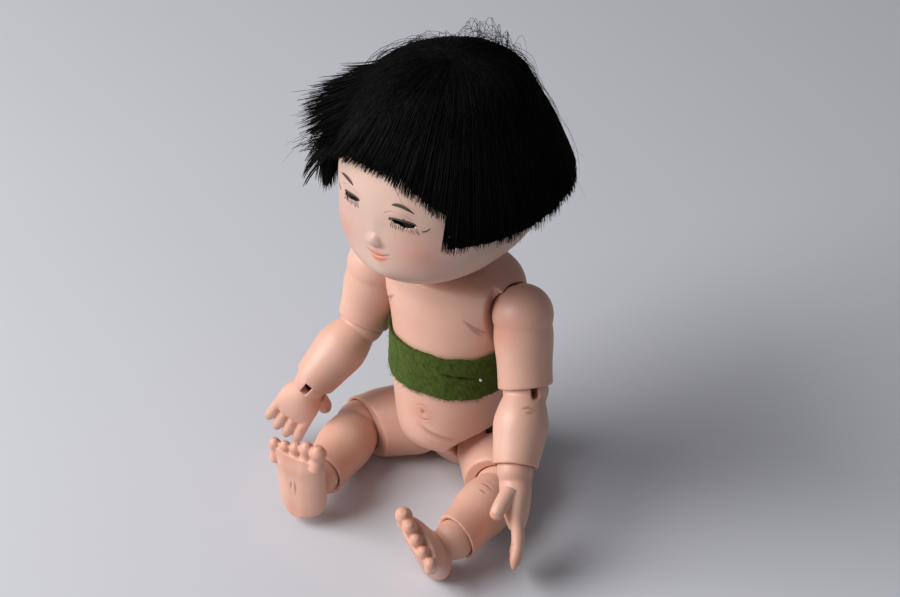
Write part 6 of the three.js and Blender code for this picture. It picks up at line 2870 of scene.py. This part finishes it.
@dataclass(frozen=True)
class Studio:
    """A pale floor, one large soft lamp on the doll's right, in front of it, and an even sky."""

    floor_colour: Colour = (0.60, 0.605, 0.645)
    floor_size: float = 6.0
    key_power: float = 30.0
    key_size: float = 1.2
    key_place: Triple = (-0.84, -0.82, 0.92)
    fill_power: float = 0.6
    fill_size: float = 1.2
    fill_place: Triple = (0.6, -1.4, 1.2)
    aim_at: Triple = (0, 0, 0.09)
    sky: Colour = (0.93, 0.95, 1.0)
    sky_strength: float = 0.19

    def floor(self) -> None:
        """Lays the floor."""
        body = bmesh.new()
        bmesh.ops.create_grid(body, x_segments=2, y_segments=2, size=self.floor_size / 2)
        mesh = as_mesh(body, "floor")
        paint = Paint("pale_floor").set(Roughness=0.75, Specular_IOR_Level=0.2)
        clouds = paint.ramp(paint.noise(2.2, 2.0), 0.3, 0.7)
        second = tuple(c * 0.97 for c in self.floor_colour)
        paint.colour(paint.mix(clouds, self.floor_colour, second))
        mesh.materials.append(paint.material)
        item = link(bpy.data.objects.new("floor", mesh))

    def lamp(self, name: str, place: Vector, power: float, size: float) -> None:
        """Hangs one square soft lamp that faces the doll.

        Args:
            name: The lamp's name.
            place: Where it hangs, in metres.
            power: Its power in watts.
            size: The length of its sides.
        """
        data = bpy.data.lights.new(name, "AREA")
        data.energy, data.size = power, size
        item = link(bpy.data.objects.new(name, data))
        aim = Vector(self.aim_at) - place
        turned = aim.to_track_quat("-Z", "Y").to_matrix().to_4x4()
        turned.translation = place
        item.matrix_world = turned

    def build(self) -> None:
        """Sets the floor, the lamps and the sky."""
        self.floor()
        self.lamp("key", Vector(self.key_place), self.key_power, self.key_size)
        self.lamp("fill", Vector(self.fill_place), self.fill_power, self.fill_size)
        world = bpy.data.worlds.new("sky")
        world.use_nodes = True
        back = world.node_tree.nodes["Background"]
        back.inputs["Color"].default_value = (*self.sky, 1.0)
        back.inputs["Strength"].default_value = self.sky_strength
        bpy.context.scene.world = world
        bpy.context.scene.view_settings.view_transform = "Standard"


# Assembly


def limb_set(side: Side, bones: Skeleton, joints: Joints) -> list[Limb]:
    """The four long segments of one side.

    Args:
        side: The doll's left or right.
        bones: Lengths and ball sizes.
        joints: That side's joints and frames.

    Returns:
        Upper arm, forearm, thigh and shin.
    """
    wall = FITS.ball_gap + FITS.rim_wall
    arm, fore, thigh, shin = bones.upper_arm, bones.forearm, bones.thigh, bones.shin
    elbow, wrist = bones.elbow_ball + wall, bones.wrist_ball + wall
    knee, ankle = bones.knee_ball + wall, bones.ankle_ball + wall
    upper_stations = [(1, bones.shoulder_ball * 0.925), (arm * 0.3, GIRTHS.deltoid),
                      (arm * 0.65, GIRTHS.arm_mid), (arm, elbow), (arm + bones.elbow_ball, elbow)]
    fore_stations = [(2, bones.elbow_ball * 0.84), (fore * 0.2, bones.elbow_ball * 1.02),
                     (fore * 0.42, GIRTHS.fore_mid), (fore * 0.72, (GIRTHS.fore_mid + wrist) / 2),
                     (fore, wrist), (fore + bones.wrist_ball, wrist)]
    thigh_stations = [(1, bones.hip_ball * 0.99), (thigh * 0.35, bones.hip_ball * 0.965),
                      (thigh * 0.7, GIRTHS.thigh_low), (thigh, knee), (thigh + bones.knee_ball, knee)]
    shin_stations = [(2, bones.knee_ball * 0.85), (shin * 0.2, bones.knee_ball), (shin * 0.42, GIRTHS.calf),
                     (shin * 0.72, GIRTHS.shin_low), (shin, ankle), (shin + bones.ankle_ball, ankle)]
    elbow_folds, knee_folds = (ELBOW_FOLDS, KNEE_FOLDS) if side is Side.LEFT else ((), ())

    def limb(name: str, own: str, onward: str, stations: Sequence[Pair], **more: object) -> Limb:
        """One segment of this side, between two of its joints."""
        return Limb(f"{side.word}_{name}", joints[name], joints[own], joints[onward], stations, **more)

    return [
        limb("upper_arm", "shoulder", "elbow", upper_stations, blushes=[ARM_BLUSH[side]]),
        limb("forearm", "elbow", "wrist", fore_stations,
             slot_more=ELBOW_SLOT_MORE[side], folds=elbow_folds),
        limb("thigh", "hip", "knee", thigh_stations),
        limb("shin", "knee", "ankle", shin_stations, folds=knee_folds),
    ]


def main() -> None:
    """Builds the doll piece by piece, then the studio round it."""
    logging.basicConfig(level=logging.INFO, format="%(name)s %(message)s")
    VIEW.add_camera()
    bones = Skeleton()
    poses = {Side.LEFT: LEFT_POSE, Side.RIGHT: RIGHT_POSE}
    joints = {side: bones.limb(side, pose) for side, pose in poses.items()}
    skin_paint, face_paint = SKIN.material(), FACE.material()
    torso = Torso(bones, joints)
    torso.dress(torso.build(), skin_paint)
    band = FeltBand(torso)
    band.dress(band.build(), FELT.material(), PIN.material())
    for side in Side:
        for limb in limb_set(side, bones, joints[side]):
            limb.dress(limb.build(), skin_paint)
        hand = Hand(side, joints[side]["hand"], joints[side]["wrist"], WRIST_SLOT_MORE[side])
        hand.dress(hand.build(), skin_paint)
        foot = Foot(side, joints[side]["foot"], joints[side]["ankle"])
        foot.dress(foot.build(), skin_paint)
    head = Head(bones)
    face = head.build()
    head.model(face)
    head.paint_strokes(face, BROW.material(), LASH.material())
    head.finish(face, face_paint)
    Eyes(head).build(EyeFinish().material())
    Wig(head).build(HAIR.material())
    Stringing(bones, joints).build(ELASTIC.material())
    wire = WIRE.material()
    fittings = ["chest_ring", "neck_hook", "neck_bar"]
    for side in Side:
        fittings += [f"{side.word}_{part}" for part in ("hand_hook", "hand_pin", "foot_hook", "foot_pin")]
    for name in fittings:
        dress_node(name, wire)
    dress_node("head_cap", CARD.material())
    Studio().build()


if __name__ == "__main__":
    main()
